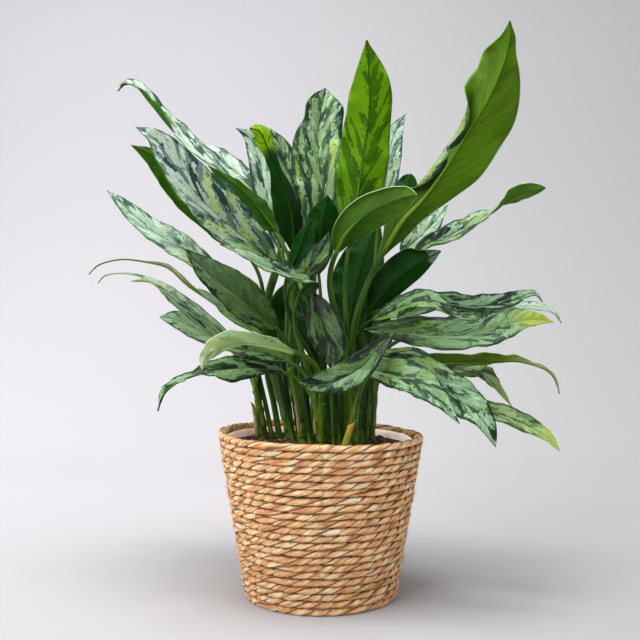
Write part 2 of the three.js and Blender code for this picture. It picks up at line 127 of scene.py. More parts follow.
def pour(source, target):
    """Adds one bmesh to another"""
    carrier = bpy.data.meshes.new("carrier")
    source.to_mesh(carrier)
    source.free()
    target.from_mesh(carrier)
    bpy.data.meshes.remove(carrier)


def new_object(name, shape, finishes, smooth=True):
    """Makes an object of a bmesh and gives it its finishes"""
    mesh = bpy.data.meshes.new(name)
    shape.to_mesh(mesh)
    shape.free()
    for face in mesh.polygons:
        face.use_smooth = smooth
    for finish in finishes:
        mesh.materials.append(finish.material)
    made = bpy.data.objects.new(name, mesh)
    scene.collection.objects.link(made)
    return made


def finish_piece(name, shape, finishes, nodes=(), smooth=True):
    """Makes an object that rides on the part and replaces some of its nodes"""
    piece = new_object(name, shape, finishes, smooth)
    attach(piece, "root")
    if nodes:
        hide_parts(*nodes)
    return piece


def thicken(piece, thickness, **settings):
    """Gives a sheet a thickness in millimetres"""
    shell = piece.modifiers.new("thickness", "SOLIDIFY")
    shell.thickness = thickness * MM
    for key, value in settings.items():
        setattr(shell, key, value)


def ease(value, low, high):
    """0 below low, 1 above high and smooth between"""
    step = min(1, max(0, (value - low) / (high - low)))
    return step * step * (3 - 2 * step)


def blend(first, second, share):
    return first + (second - first) * share


print("mesh helpers ready")

# %% [markdown]
# ## Helpers for finishes
#
# A finish is a node tree. Long chains of Math nodes are hard to read, so a `Signal` wraps one
# socket and lets plain arithmetic add the nodes: `1 - mask * 2` makes two of them. Every other
# node comes from `Finish.node`, which takes its type, its settings and what goes into its sockets.

# %% Helpers for finishes
SHELTER_HEIGHT, SHELTER_REACH, SHELTER_CORE = 0.28, 0.2, 0.02
SHELTER_TINT = (0.2, 0.34, 0.08, 1)


def paint(red, green, blue):
    """Screen values from 0 to 255 as the linear colour that a shader uses"""
    return tuple((value / 255) ** 2.2 for value in (red, green, blue)) + (1,)


def operator(operation, turned=False):
    """A method that adds a Math node, with the signal as the second value where it is turned"""
    def method(signal, *others):
        values = (*others, signal) if turned else (signal, *others)
        return signal.finish.maths(operation, *values)

    return method


class Signal:
    """A socket that arithmetic works on"""

    def __init__(self, finish, socket):
        self.finish, self.socket = finish, socket

    __add__, __radd__ = operator("ADD"), operator("ADD", True)
    __sub__, __rsub__ = operator("SUBTRACT"), operator("SUBTRACT", True)
    __mul__, __truediv__ = operator("MULTIPLY"), operator("DIVIDE")
    __abs__ = operator("ABSOLUTE")


class Finish:
    """A material with one shader, and short calls for the nodes in front of it"""

    def __init__(self, name, **settings):
        self.material = bpy.data.materials.new(name)
        self.material.use_nodes = True
        self.tree = self.material.node_tree
        self.shader = self.tree.nodes["Principled BSDF"]
        for key, value in settings.items():
            self.shader.inputs[key.replace("_", " ")].default_value = value

    def feed(self, socket, value):
        if isinstance(value, Signal):
            self.tree.links.new(value.socket, socket)
        else:
            socket.default_value = value

    def node(self, kind, settings=None, inputs=None, output=0):
        made = self.tree.nodes.new("ShaderNode" + kind)
        for key, value in (settings or {}).items():
            setattr(made, key, value)
        for key, value in (inputs or {}).items():
            self.feed(made.inputs[key], value)
        return Signal(self, made.outputs[output])

    def maths(self, operation, *values):
        return self.node("Math", {"operation": operation}, dict(enumerate(values)))

    def rises(self, value, low, high):
        """0 below low, 1 above high and smooth between"""
        ends = {"Value": value, "From Min": low, "From Max": high}
        return self.node("MapRange", {"interpolation_type": "SMOOTHSTEP"}, ends)

    def mix(self, share, first, second, way="MIX"):
        settings = {"data_type": "RGBA", "blend_type": way}
        return self.node("Mix", settings, {0: share, 6: first, 7: second}, 2)

    def ramp(self, value, stops):
        """A colour ramp through stops, each a position and its colour"""
        made = self.node("ValToRGB", None, {"Fac": value})
        elements = made.socket.node.color_ramp.elements
        while len(elements) < len(stops):
            elements.new(0.5)
        for element, (position, colour) in zip(elements, stops):
            element.position, element.color = position, paint(*colour)
        return made

    def noise(self, place, scale=1.0, detail=2, roughness=0.5):
        """Noise at a place, which may also be given as its three numbers"""
        if isinstance(place, tuple):
            place = self.node("CombineXYZ", None, dict(zip("XYZ", place)))
        inputs = {"Vector": place, "Scale": scale, "Detail": detail, "Roughness": roughness}
        return self.node("TexNoise", None, inputs)

    def parts(self, vector):
        """The three numbers of a vector"""
        first = self.node("SeparateXYZ", None, {"Vector": vector})
        return [Signal(self, output) for output in first.socket.node.outputs]

    def attribute(self, name):
        """The three numbers that a rule kept on the corners under this name"""
        return self.parts(self.node("Attribute", {"attribute_name": name}, None, 1))

    def object_place(self):
        return self.node("TexCoord", None, None, 3)

    def sheltered(self, colour, most=1.0):
        """Darkens a colour in the middle of the plant, where leaves on all sides keep light out"""
        x, y, z = self.parts(self.object_place())
        up = z - SHELTER_HEIGHT
        distance = self.maths("POWER", x * x * 0.5 + y * y * 0.7 + up * up, 0.5)
        share = self.rises(SHELTER_REACH - distance, 0.0, SHELTER_REACH - SHELTER_CORE)
        return self.mix(share * most, colour, SHELTER_TINT, "MULTIPLY")

    def relief(self, height, distance, strength=1.0):
        """Lets a height bend the light on the surface. The distance is in metres."""
        inputs = {"Height": height, "Distance": distance, "Strength": strength}
        self.feed(self.shader.inputs["Normal"], self.node("Bump", None, inputs))

    def colour(self, value):
        self.feed(self.shader.inputs["Base Color"], value)

    def roughness(self, value):
        self.feed(self.shader.inputs["Roughness"], value)


print("finish helpers ready")

# %% [markdown]
# ## Floor, backdrop and light
#
# In a studio the floor runs up into the wall in one smooth sweep of paper, so there is no corner
# behind the plant. A sheet bent along a quarter circle gives that. Light is painted into the
# paper's colour: it is painted a touch lighter on the left, where most of the light comes from,
# and painted darker where it lies flat, because more light falls on it there.
#
# Big area lights give soft edges to every shadow. The main one stands in front on the left, and
# one at the left side brightens the leaf edges. One on the right opens the dark side of the
# basket. One hangs almost straight above the plant and gives the wide, soft shadow on both sides
# of the pot.

# %% Studio
PAPER_WIDTH, PAPER_LENGTH, PAPER_FRONT = 7, 6.5, 3
SWEEP_RADIUS, SWEEP_START = 1.1, 0.75


def paper_place(across, along):
    x, run = (across - 0.5) * PAPER_WIDTH, along * PAPER_LENGTH - PAPER_FRONT
    if run < SWEEP_START:
        return (Vector((x, run, 0)),)
    turn = min((run - SWEEP_START) / SWEEP_RADIUS, math.pi / 2)
    rest = run - SWEEP_START - turn * SWEEP_RADIUS
    y = SWEEP_START + SWEEP_RADIUS * math.sin(turn)
    z = SWEEP_RADIUS * (1 - math.cos(turn)) + rest
    return (Vector((x, y, z)),)


paper = Finish("studio_paper", Roughness=0.95)
paper_x, paper_y, _ = paper.parts(paper.object_place())
# Painted light: the paper is painted lighter on the left, and darker on the floor than on the wall
paper_painted_falloff = paper.rises(paper_x, -1.0, 0.7)
paper_wall = paper.mix(paper_painted_falloff, paint(212, 209, 214), paint(196, 196, 197))
paper_floor = paper.mix(paper_painted_falloff, paint(184, 181, 184), paint(159, 159, 160))
paper.colour(paper.mix(paper.rises(paper_y, -0.3, 1.0), paper_floor, paper_wall))

backdrop = new_object("paper", new_sheet(paper_place, 2, 96, ()), [paper])
backdrop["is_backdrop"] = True


def soft_light(name, place, aim_height, size, power):
    """A square light that looks at the axis of the basket at some height"""
    lamp = bpy.data.lights.new(name, "AREA")
    lamp.shape = "SQUARE"
    lamp.size = size
    lamp.energy = power
    holder = bpy.data.objects.new(name, lamp)
    scene.collection.objects.link(holder)
    holder.location = place
    toward = Vector((0, 0, aim_height)) - Vector(place)
    holder.rotation_euler = toward.to_track_quat("-Z", "Y").to_euler()


soft_light("key", (-1.4, -1.5, 1.3), 0.25, 1.7, 48)
soft_light("side", (-1.9, 0.0, 0.8), 0.15, 1.2, 16)
soft_light("fill", (1.8, -0.9, 0.85), 0.15, 1.9, 24)
soft_light("top", (-0.1, -0.16, 1.9), 0.2, 0.9, 34)

sky = bpy.data.worlds.new("studio")
sky.use_nodes = True
sky.node_tree.nodes["Background"].inputs["Color"].default_value = (0.93, 0.95, 1, 1)
sky.node_tree.nodes["Background"].inputs["Strength"].default_value = 0.15
scene.world = sky
scene.view_settings.view_transform = "Standard"
print("studio ready")

# %% [markdown]
# ## Leaf finishes
#
# The upper side of this plant's leaf is marbled: pale, silver and blue-green patches on a dark
# green ground, drawn out along the side veins. The underside is plain green with a raised midrib.
#
# Every leaf keeps two attributes on its corners. `share` says how far a point is from the midrib,
# from -1 to 1, and how far along the leaf, from 0 to 1. `span` gives the same two distances in
# centimetres, so patches have one real size on small and large leaves. A noise texture is
# stretched along the side veins by giving it `along - slant * distance from the midrib` as its
# first coordinate.

# %% The marbled upper side
VEIN_SLANT = 1.6
VEIN_PACE = 5.0
PATCH_EDGE = 0.012
UPPER_ROUGHNESS, UNDER_ROUGHNESS = 0.38, 0.4


def leaf_places(finish):
    """What every leaf finish starts from: shares and distances across and along the leaf"""
    side, along, _ = finish.attribute("share")
    across_cm, along_cm, seed = finish.attribute("span")
    from_rib = abs(across_cm)
    hand = finish.maths("GREATER_THAN", across_cm, 0.0)
    vein = along_cm - from_rib * VEIN_SLANT
    ragged = finish.noise((along_cm * 1.7, across_cm * 2.2, seed + 11.0), 1.0, 3, 0.6)
    return abs(side), along, from_rib, vein, seed + hand * 7.3, ragged - 0.5


def patches(finish, vein, from_rib, seed, ragged, size):
    """Noise drawn out along the side veins, its outlines made ragged by a second noise"""
    x = vein * 0.45 / size + ragged * 1.2
    y = from_rib * 0.95 / size + ragged * 1.1
    return finish.noise((x, y, seed), 1.0, 2, 0.4)


def vein_relief(finish, vein, from_rib, coarse):
    """Side veins as fine furrows, with the blade slightly quilted between them"""
    furrows = finish.maths("SINE", vein * VEIN_PACE + coarse * 2.0)
    quilt = furrows * finish.rises(from_rib, 0.05, 0.5)
    return quilt * 0.5 + coarse * 1.5


def marbled(name, colours, levels=(0.41, 0.52), tip=None):
    """Dark below the first level of a ragged noise, then the ground, and pale above the second"""
    finish = Finish(f"leaf_{name}", Specular_IOR_Level=0.25)
    dark, ground, pale, warm, frost_and_glint = (paint(*colour) for colour in colours)
    side, along, from_rib, vein, seed, ragged = leaf_places(finish)
    broad = patches(finish, vein, from_rib, seed, ragged, 1.0)
    second = patches(finish, vein, from_rib, seed + 31.0, ragged, 0.62)
    specks = finish.noise((vein * 1.2, from_rib * 3.4, seed + 57.0), 1.3, 4, 0.65)
    tint = finish.noise((vein * 0.14, from_rib * 0.3, seed + 80.0))

    at_rim = finish.rises(side, 0.7, 1.0) * 0.13
    at_rib = finish.rises(0.2 - from_rib, 0.0, 0.2) * 0.06
    height = broad - at_rim - at_rib
    pale = finish.mix(finish.rises(tint + (0.5 - along) * 0.6, 0.5, 0.64), pale, warm)
    colour = dark
    for level, next_colour in zip(levels, (ground, pale)):
        colour = finish.mix(finish.rises(height, level, level + PATCH_EDGE), colour, next_colour)
    # Frost: partly the leaf's own silver flecks and partly painted highlight, pale mint glints
    # painted into the colour
    frost_and_glint_share = finish.rises(second - at_rim, 0.56, 0.575)
    colour = finish.mix(frost_and_glint_share * 0.8, colour, frost_and_glint)
    flecks = finish.rises(specks + at_rim * 0.5, 0.6, 0.64)
    edge = finish.rises(side, 0.93, 0.99)
    groove = finish.rises(0.05 - from_rib, 0.0, 0.03)
    for darker in (flecks * 0.85, edge * 0.8, groove * 0.7):
        colour = finish.mix(darker, colour, dark)
    if tip:
        ripe = finish.rises(along + (second - 0.5) * 0.4, 0.66, 0.84)
        colour = finish.mix(ripe * (1.0 - flecks * 0.5), colour, paint(*tip))
    finish.colour(finish.sheltered(colour))
    finish.roughness(UPPER_ROUGHNESS + specks * 0.16)
    finish.relief(vein_relief(finish, vein, from_rib, second), 0.0004, 0.8)
    return finish


marbled_finishes = {name: marbled(name, *looks) for name, *looks in (
    ("silver", [(36, 66, 50), (110, 136, 130), (180, 204, 176), (188, 208, 138), (204, 222, 212)],
     (0.385, 0.495)),
    ("mint", [(34, 66, 48), (100, 130, 116), (164, 190, 162), (174, 196, 150), (198, 216, 204)],
     (0.4, 0.5)),
    ("pale", [(56, 92, 64), (122, 152, 132), (166, 194, 168), (172, 196, 152), (190, 212, 196)],
     (0.37, 0.48)),
    ("dusky", [(14, 42, 18), (54, 88, 56), (126, 160, 118), (136, 164, 96), (160, 190, 164)],
     (0.4, 0.49)),
    ("shaded", [(20, 44, 22), (92, 120, 86), (108, 136, 98), (116, 140, 86), (134, 162, 132)],
     (0.36, 0.46)),
    ("mossy", [(22, 50, 20), (60, 92, 56), (118, 150, 98), (138, 166, 78), (150, 178, 146)]),
    ("deep", [(12, 36, 18), (40, 72, 46), (106, 140, 92), (126, 152, 78), (138, 168, 134)]),
    # Painted shade: a darker copy of the marbling for the hanging leaf in the middle, where little
    # light reaches
    ("dim", [(8, 26, 14), (28, 54, 34), (82, 112, 70), (100, 124, 60), (108, 136, 104)]),
    ("ripe_tip", [(28, 56, 32), (70, 104, 72), (124, 156, 108), (136, 162, 96), (146, 176, 142)],
     (0.41, 0.52), (142, 158, 62)),
    ("spring", [(48, 84, 42), (104, 136, 84), (150, 178, 116), (164, 184, 104), (170, 192, 146)],
     (0.41, 0.52), (146, 166, 84)),
)}
print("marbled finishes:", len(marbled_finishes))

# %% [markdown]
# An underside is one green with clouds and faint veins, and a rim and a midrib in colours of
# their own. Some have blotches, or a tip in another colour.

# %% The plain underside
def underside(name, colours, blotch=None, tip=None, tip_span=(0.6, 0.7)):
    """Clouded green. Its three colours are the ground, the veins and the rim."""
    finish = Finish(f"underleaf_{name}", Specular_IOR_Level=0.08)
    ground, vein_colour, rim_colour = (paint(*colour) for colour in colours)
    shade = tuple(value * 0.66 for value in ground[:3]) + (1,)
    side, along, from_rib, vein, seed, ragged = leaf_places(finish)
    cloud = finish.noise((vein * 0.25, from_rib * 0.4, seed), 1.0, 3)
    grain = finish.noise((vein * 2.2, from_rib * 0.8, seed + 20.0), 2.0, 3, 0.6)
    base = finish.mix(finish.rises(cloud, 0.38, 0.62), shade, ground)
    if blotch:
        blotches = patches(finish, vein * 1.8, from_rib * 0.8, seed + 44.0, ragged, 1.1)
        blotches += finish.rises(side, 0.2, 0.9) * 0.1
        base = finish.mix(finish.rises(blotches, 0.53, 0.56), base, paint(*blotch))
    lines = finish.maths("SINE", vein * VEIN_PACE + cloud * 3.0)
    base = finish.mix(finish.rises(lines, 0.85, 1.0) * 0.1, base, vein_colour)
    base = finish.mix(finish.rises(grain, 0.5, 0.75) * 0.12, base, vein_colour)
    if tip:
        ripe = finish.rises(along + (cloud - 0.5) * 0.2, *tip_span)
        base = finish.mix(ripe, base, paint(*tip))
        base = finish.mix(ripe * finish.rises(grain, 0.5, 0.56) * 0.6, base, shade)
    base = finish.mix(finish.rises(side, 0.955, 1.0) * 0.8, base, rim_colour)
    rib_colour = finish.mix(finish.rises(along, 0.2, 0.5), vein_colour, shade)
    near_rib = finish.rises(0.09 - from_rib, 0.0, 0.04)
    finish.colour(finish.sheltered(finish.mix(near_rib * 0.85, base, rib_colour)))
    finish.roughness(UNDER_ROUGHNESS + grain * 0.18)
    finish.relief(vein_relief(finish, vein, from_rib, cloud) * -1.0, 0.00016, 0.6)
    return finish


plain_finishes = {name: underside(name, *looks) for name, *looks in (
    ("green", [(70, 104, 16), (140, 164, 60), (120, 152, 70)]),
    # Painted light: brighter greens stand for light that shines through the backlit leaf
    ("lit", [(60, 102, 2), (84, 124, 8), (44, 76, 12)], (92, 138, 3)),
    ("light", [(76, 116, 30), (122, 154, 66), (196, 212, 176)]),
    ("celery", [(204, 224, 160), (226, 238, 190), (232, 240, 216)], (226, 238, 206)),
    ("dark", [(26, 80, 2), (46, 98, 10), (76, 120, 44)]),
    ("yellow_tip", [(18, 60, 2), (36, 80, 12), (60, 100, 24)], None, (124, 170, 8)),
    ("grey_tip", [(30, 86, 2), (46, 100, 10), (90, 130, 76)], None, (150, 178, 158), (0.8, 0.86)),
    ("leafy", [(44, 86, 8), (84, 122, 32), (100, 136, 58)]),
    ("olive", [(100, 134, 34), (146, 166, 64), (160, 180, 90)], None, (206, 220, 140), (0.5, 0.7)),
    ("thin_tip", [(146, 164, 84), (170, 184, 116), (196, 206, 168)], None, (206, 214, 188),
     (0.3, 0.55)),
)}
leaf_finishes = {**marbled_finishes, **plain_finishes}
print("underside finishes:", len(plain_finishes))

# %% [markdown]
# ## The plan of the plant
#
# Most of these are the CAD part's own driving values, in millimetres. A place is given across, up
# and by its depth behind the upright plane through the basket's axis, as it is seen by the camera.
# Each stem has a foot, a top, a radius and its leaves. Each leaf has a place on the stem, the
# turns about its rib, and the rib from base to tip. Then comes its width, or a list of widths for
# each half.
#
# What the CAD part doesn't have is how a leaf looks: the finish of its upper side comes first, and
# the one `under` it is leafy green unless another is named. Some margins roll. A roll is written
# as its hand, where it starts and ends along the leaf, between which shares of the half it bends,
# and by how many degrees.

# %% The stems and their leaves
def new_stem(foot, top, radius, leaves):
    return {"foot": foot, "top": top, "radius": radius, "leaves": leaves}


def new_leaf(upper, start, turn, rib, under="leafy", **form):
    return {"looks": (upper, under), "from": start, "turn": turn, "rib": rib, **form}


stems = {
    "left_outer": new_stem((-60, 24), (-65, 208, 26), 3.6, {
        "long_tip": new_leaf("pale", 0.9, [30, 55, 115, 100, 92, 90], [(-59, 257, 10),
            (-86, 274, 8), (-109, 291, 4), (-133, 307, -2), (-152, 324, -8), (-174, 330, -16),
            (-198, 333, -26), (-221, 328, -38), (-232, 318, -46)], halves=[[2, 8, 11, 10, 6, 6, 3,
            1, 1, 1, 1]] * 2, under="thin_tip"),
        "hooked": new_leaf("pale", 0.75, [40, 45, 65, 80], [(-83, 247, 26), (-108, 267, 32),
            (-130, 284, 38), (-148, 297, 42), (-163, 307, 46), (-180, 315, 52), (-198, 319, 58),
            (-215, 317, 64), (-223, 309, 66)], halves=[[2, 6, 8, 8, 7, 6, 4, 2, 1, 1, 1]] * 2,
            under="thin_tip"),
        "twisted": new_leaf("dusky", 0.6, [40, 60, 150], [(-92, 244, 46), (-131, 277, 60),
            (-156, 299, 70), (-171, 310, 78), (-190, 311, 86)], width=16, under="olive"),
        "low": new_leaf("shaded", 0.5, [25], [(-76, 238, 62), (-101, 252, 76), (-123, 262, 90),
            (-143, 272, 102), (-161, 275, 110)], width=28, broad=0.5),
    }),
    "left_back": new_stem((-33, 36), (-56, 240, 38), 4.6, {
        "high": new_leaf("mint", 1, [55, 55, 65], [(-56, 390, 58), (-86, 412, 66), (-115, 434, 72),
            (-141, 456, 76), (-164, 481, 78), (-182, 504, 78), (-195, 508, 76), (-203, 501, 72)],
            width=30, slim=1.5, rolls=[(-1, 0.42, 0.72, 0.5, 0.85, 120)]),
        "behind": new_leaf("mint", 0.9, [40], [(-50, 380, 78), (-74, 404, 92), (-98, 432, 106),
            (-120, 449, 116)], width=36),
        "pale": new_leaf("pale", 0.6, [30], [(-86, 300, 14), (-121, 330, 22), (-145, 347, 28),
            (-171, 363, 32), (-197, 386, 34), (-214, 402, 34)], width=30),
        "dark": new_leaf("dusky", 0.75, [200], [(-78, 342, 12), (-122, 384, 8), (-148, 416, 2),
            (-168, 436, -4), (-190, 447, -8)], width=32),
    }),
    "left": new_stem((-18, 8), (-30, 225, 4), 5, {
        "big": new_leaf("silver", 0.9, [20], [(-44, 328, -6), (-69, 349, -18), (-91, 366, -30),
            (-111, 385, -42), (-129, 404, -54), (-149, 431, -68), (-166, 453, -78),
            (-185, 465, -86)], width=54, rolls=[(-1, 0.1, 0.97, 0.9, 0.98, 130)]),
        "lower": new_leaf("shaded", 0.5, [20], [(-45, 264, -16), (-66, 282, -26), (-91, 303, -38),
            (-116, 323, -50), (-137, 344, -60)], width=40),
        "dark": new_leaf("dusky", 0.8, [215], [(-45, 360, 16), (-63, 384, 21), (-83, 404, 25),
            (-113, 427, 27)], width=34),
        "narrow": new_leaf("mint", 1, [15], [(-39, 342, 30), (-49, 376, 40), (-56, 406, 46),
            (-62, 434, 48), (-71, 454, 46), (-85, 464, 40)], width=30),
    }),
    "front_left": new_stem((1, -12), (-6, 195, -18), 4, {
        "curled": new_leaf("pale", 0.1, [120, 125, 150, 120], [(-27, 240, -62), (-47, 245, -68),
            (-66, 248, -74), (-86, 248, -80), (-104, 243, -86), (-115, 235, -90),
            (-119, 222, -94)], width=28, stout=1.4, broad=0.45, under="celery",
            rolls=[(1, 0.25, 0.75, 0.5, 1, 110)]),
        "dark": new_leaf("deep", 0.6, [40], [(-34, 231, -34), (-59, 239, -42), (-80, 243, -50),
            (-102, 243, -58)], width=24),
        "drooping": new_leaf("dusky", 0.4, [20, 25, 40, 70, 72, 70], [(-36, 219, -20),
            (-54, 223, -26), (-72, 224, -32), (-90, 223, -38), (-108, 221, -44), (-121, 218, -50),
            (-136, 213, -56), (-149, 206, -62), (-158, 196, -66), (-163, 181, -70)], halves=[[2, 6,
            13, 18, 15, 12, 10, 8, 5, 1], [2, 11, 14, 13, 11, 9, 9, 9, 6, 1]]),
        "forward": new_leaf("mint", 1, [130, 100, 60, 55, 55, 55], [(-20, 299, -58),
            (-14, 309, -66), (-27, 315, -80), (-52, 324, -93), (-75, 336, -102),
            (-101, 348, -108)], width=30, broad=0.35),
    }),
    "centre": new_stem((12, 6), (0, 235, 4), 5.5, {
        "yellow_tip": new_leaf("dusky", 0.8, [205], [(-28, 340, -12), (-28, 366, -14),
            (-34, 394, -16), (-43, 420, -19), (-53, 444, -23), (-61, 460, -27), (-71, 464, -31)],
            halves=[[2, 12, 14, 11, 7, 8, 12, 9, 1], [2, 13, 17, 14, 8, 7, 10, 8, 1]],
            under="yellow_tip"),
        "behind": new_leaf("mossy", 0.95, [-15], [(-15, 352, 52), (-22, 387, 58), (-31, 417, 64),
            (-40, 445, 68), (-51, 464, 68)], width=36),
        "upright": new_leaf("mossy", 1, [0], [(-3, 350, 34), (2, 392, 42), (-1, 427, 50),
            (-3, 455, 56), (1, 484, 60), (5, 504, 62)], halves=[[2, 19, 30, 33, 32, 30, 25, 18, 18,
            12, 1], [2, 19, 30, 32, 32, 30, 28, 27, 25, 14, 1]], fold=22),
        "inner": new_leaf("deep", 0.7, [150], [(-31, 322, -30), (-22, 340, -34), (-15, 358, -36),
            (-8, 373, -38)], width=26, under="dark"),
        "short": new_leaf("deep", 0.9, [180], [(-4, 345, -20), (1, 366, -24), (5, 382, -28),
            (7, 397, -32)], width=34, under="dark"),
        "rising": new_leaf("deep", 0.55, [-30], [(-21, 316, -42), (-12, 323, -42), (-2, 335, -42),
            (5, 348, -42), (8, 360, -42)], width=24),
        # The hanging leaf's darker marbling is painted shade
        "hanging": new_leaf("dim", 0.6, [0], [(-8, 300, -62), (-1, 280, -68), (6, 258, -72),
            (11, 240, -74), (10, 224, -74)], width=34, broad=0.5),
    }),
    "centre_right": new_stem((30, 10), (27, 240, 4), 5, {
        "tallest": new_leaf("deep", 0.2, [180], [(62, 338, -12), (81, 370, -21), (103, 394, -30),
            (126, 425, -40), (148, 459, -50), (168, 492, -60), (183, 528, -70), (189, 552, -76),
            (189, 571, -80)], halves=[[3, 13, 14, 22, 32, 33, 32, 22, 9, 5, 1], [5, 24, 26, 24, 22,
            22, 30, 34, 30, 13, 1]], stout=1.5, folds=[8, 55], under="green",
            rolls=[(1, 0.12, 0.7, -0.2, 0, -42), (1, 0.2, 0.64, 0.5, 0.75, -160)]),
        "backlit": new_leaf("spring", 1, [180], [(28, 345, 12), (36, 392, 12), (41, 425, 10),
            (46, 457, 6), (49, 490, 0), (48, 525, -8), (46, 552, -14)], halves=[[2, 15, 23, 26, 26,
            24, 23, 23, 18, 9, 1], [2, 15, 23, 25, 25, 25, 23, 21, 14, 7, 1]], fold=10,
            under="lit"),
        "forward": new_leaf("mint", 0.8, [190], [(15, 338, -50), (24, 357, -62), (42, 375, -74),
            (64, 387, -86), (84, 395, -96), (97, 397, -104)], width=36, stout=1.4, broad=0.45,
            under="light", rolls=[(1, 0.2, 0.95, 0.7, 1, -60)]),
    }),
    "right_back": new_stem((53, 46), (54, 235, 38), 4.5, {
        "narrow": new_leaf("mint", 1, [0], [(59, 372, 50), (65, 410, 58), (69, 440, 66),
            (75, 461, 72), (85, 478, 76)], width=28),
        "small": new_leaf("mint", 0.8, [-30], [(80, 338, 34), (98, 354, 42), (112, 368, 50),
            (127, 387, 56)], width=30),
        "long_wavy": new_leaf("dusky", 0.65, [-40, -35, -40, -70, -115, -150, -160], [(88, 330, 8),
            (105, 347, 16), (123, 354, 24), (139, 362, 32), (157, 371, 38), (174, 381, 44),
            (186, 391, 48), (200, 398, 52), (214, 402, 56), (225, 404, 60)], width=28, slim=1.4,
            broad=0.5, under="light"),
        "rounded": new_leaf("deep", 0.9, [180], [(66, 360, 30), (74, 380, 38), (84, 400, 46),
            (91, 418, 52)], width=28, broad=0.6, slim=1.2, under="dark"),
    }),
    "right": new_stem((44, 14), (46, 222, 10), 4.6, {
        "dark": new_leaf("dusky", 1, [180], [(47, 280, 8), (63, 300, 0), (82, 317, -8),
            (102, 331, -17), (120, 341, -26)], halves=[[2, 9, 13, 14, 14, 13, 10, 6, 1], [2, 11,
            18, 21, 22, 21, 17, 10, 1]], under="grey_tip", rolls=[(1, 0.7, 1.0, 0.4, 1, -120)]),
        "upper": new_leaf("dusky", 0.9, [-45], [(74, 266, 26), (97, 282, 32), (122, 289, 38),
            (144, 286, 42), (165, 286, 48), (186, 290, 54), (201, 296, 58), (214, 298, 60),
            (222, 290, 62)], width=30, broad=0.35),
        "thin": new_leaf("pale", 0.7, [-50], [(99, 260, 50), (149, 278, 66), (186, 284, 80),
            (214, 285, 90), (232, 280, 96), (241, 269, 100)], width=16, under="olive"),
        "arching": new_leaf("dusky", 0.85, [-40], [(52, 272, -34), (71, 280, -40), (88, 288, -46),
            (103, 291, -52), (117, 287, -58), (130, 279, -64), (149, 271, -70)], width=26),
        "big": new_leaf("ripe_tip", 0.75, [-35], [(46, 262, -20), (82, 260, -30), (119, 256, -38),
            (155, 258, -46), (176, 263, -50), (196, 270, -54), (216, 272, -58), (233, 270, -60)],
            width=42),
    }),
    "front_right": new_stem((31, -20), (36, 205, -24), 4.6, {
        "olive": new_leaf("dusky", 1, [-130, -125, -115, -100, -80, -60], [(64, 236, 0),
            (94, 231, 2), (126, 230, 4), (155, 230, 6), (176, 230, 8), (194, 231, 10),
            (210, 228, 12), (226, 222, 12), (235, 212, 12), (239, 198, 10)], width=26, broad=0.35,
            under="olive"),
        "front": new_leaf("dusky", 0.35, [-25], [(34, 226, -52), (67, 219, -64), (88, 213, -76),
            (105, 203, -86), (121, 189, -94), (139, 168, -102)], width=34),
        "long": new_leaf("dusky", 0.8, [-20], [(39, 239, -36), (69, 234, -49), (92, 229, -56),
            (109, 216, -64), (126, 202, -72), (142, 190, -78), (155, 180, -84), (166, 166, -88),
            (175, 145, -92)], width=38, broad=0.5),
        "outer": new_leaf("spring", 0.7, [-45], [(99, 228, 26), (129, 223, 24), (157, 220, 22),
            (168, 213, 20), (178, 202, 18), (192, 184, 16)], width=24, under="olive"),
        "yellow_edge": new_leaf("spring", 0.9, [-35], [(118, 198, -22), (140, 190, -26),
            (162, 183, -32), (184, 176, -38), (209, 165, -44), (226, 155, -50), (239, 141, -54)],
            width=22, broad=0.5, under="olive"),
        "crossing": new_leaf("deep", 0.65, [15], [(70, 256, -62), (54, 240, -73), (39, 224, -80),
            (17, 212, -88), (-5, 208, -94), (-22, 210, -98)], width=28, broad=0.5),
    }),
    "back": new_stem((5, 54), (2, 225, 62), 5, {
        "left": new_leaf("silver", 1, [60], [(-20, 300, 86), (-44, 330, 104), (-70, 352, 124),
            (-92, 362, 144), (-106, 360, 160)], width=54),
        "upright": new_leaf("mossy", 1, [180], [(-2, 318, 90), (-6, 354, 104), (-8, 392, 118),
            (-6, 424, 134), (-4, 442, 150)], width=54),
        "right": new_leaf("silver", 1, [180], [(26, 262, 70), (32, 292, 78), (40, 322, 88),
            (49, 350, 100), (58, 378, 114)], width=60, under="dark"),
        "low_right": new_leaf("dark", 0.7, [0], [(18, 276, 90), (30, 290, 106), (42, 282, 124),
            (50, 256, 140), (52, 224, 150), (50, 194, 155)], width=56, broad=0.45, under="dusky"),
        "low_left": new_leaf("dark", 0.7, [0], [(-8, 276, 90), (-18, 292, 106), (-28, 284, 124),
            (-34, 256, 140), (-36, 224, 150), (-36, 194, 155)], width=56, broad=0.45,
            under="dusky"),
    }),
}

leaf_plans = {
    f"{stem_name}_{leaf_name}": leaf
    for stem_name, stem in stems.items() for leaf_name, leaf in stem["leaves"].items()
}
print("stems:", len(stems), "leaves:", len(leaf_plans))

# %% [markdown]
# ## Lines in space
#
# A rib is a smooth line through the places in the plan. A Catmull-Rom spline passes through each
# of them, and its direction there is easy to work out, so it suits both stalks and blades.

# %% Lines in space
def placed(across, up, depth):
    """A place of the plan in metres, moved so that the camera sees it where the plan says"""
    spread = 1 + depth / EYE_DISTANCE
    return Vector((across * spread, depth, EYE_HEIGHT + (up - EYE_HEIGHT) * spread)) * MM


def pass_through(t, before, first, second, after):
    """What lies between the second and third of four values, on a curve through all of them"""
    leave, arrive = (second - before) / 2, (after - first) / 2
    return (
        first * (2 * t**3 - 3 * t**2 + 1) + second * (3 * t**2 - 2 * t**3)
        + leave * (t**3 - 2 * t**2 + t) + arrive * (t**3 - t**2)
    )


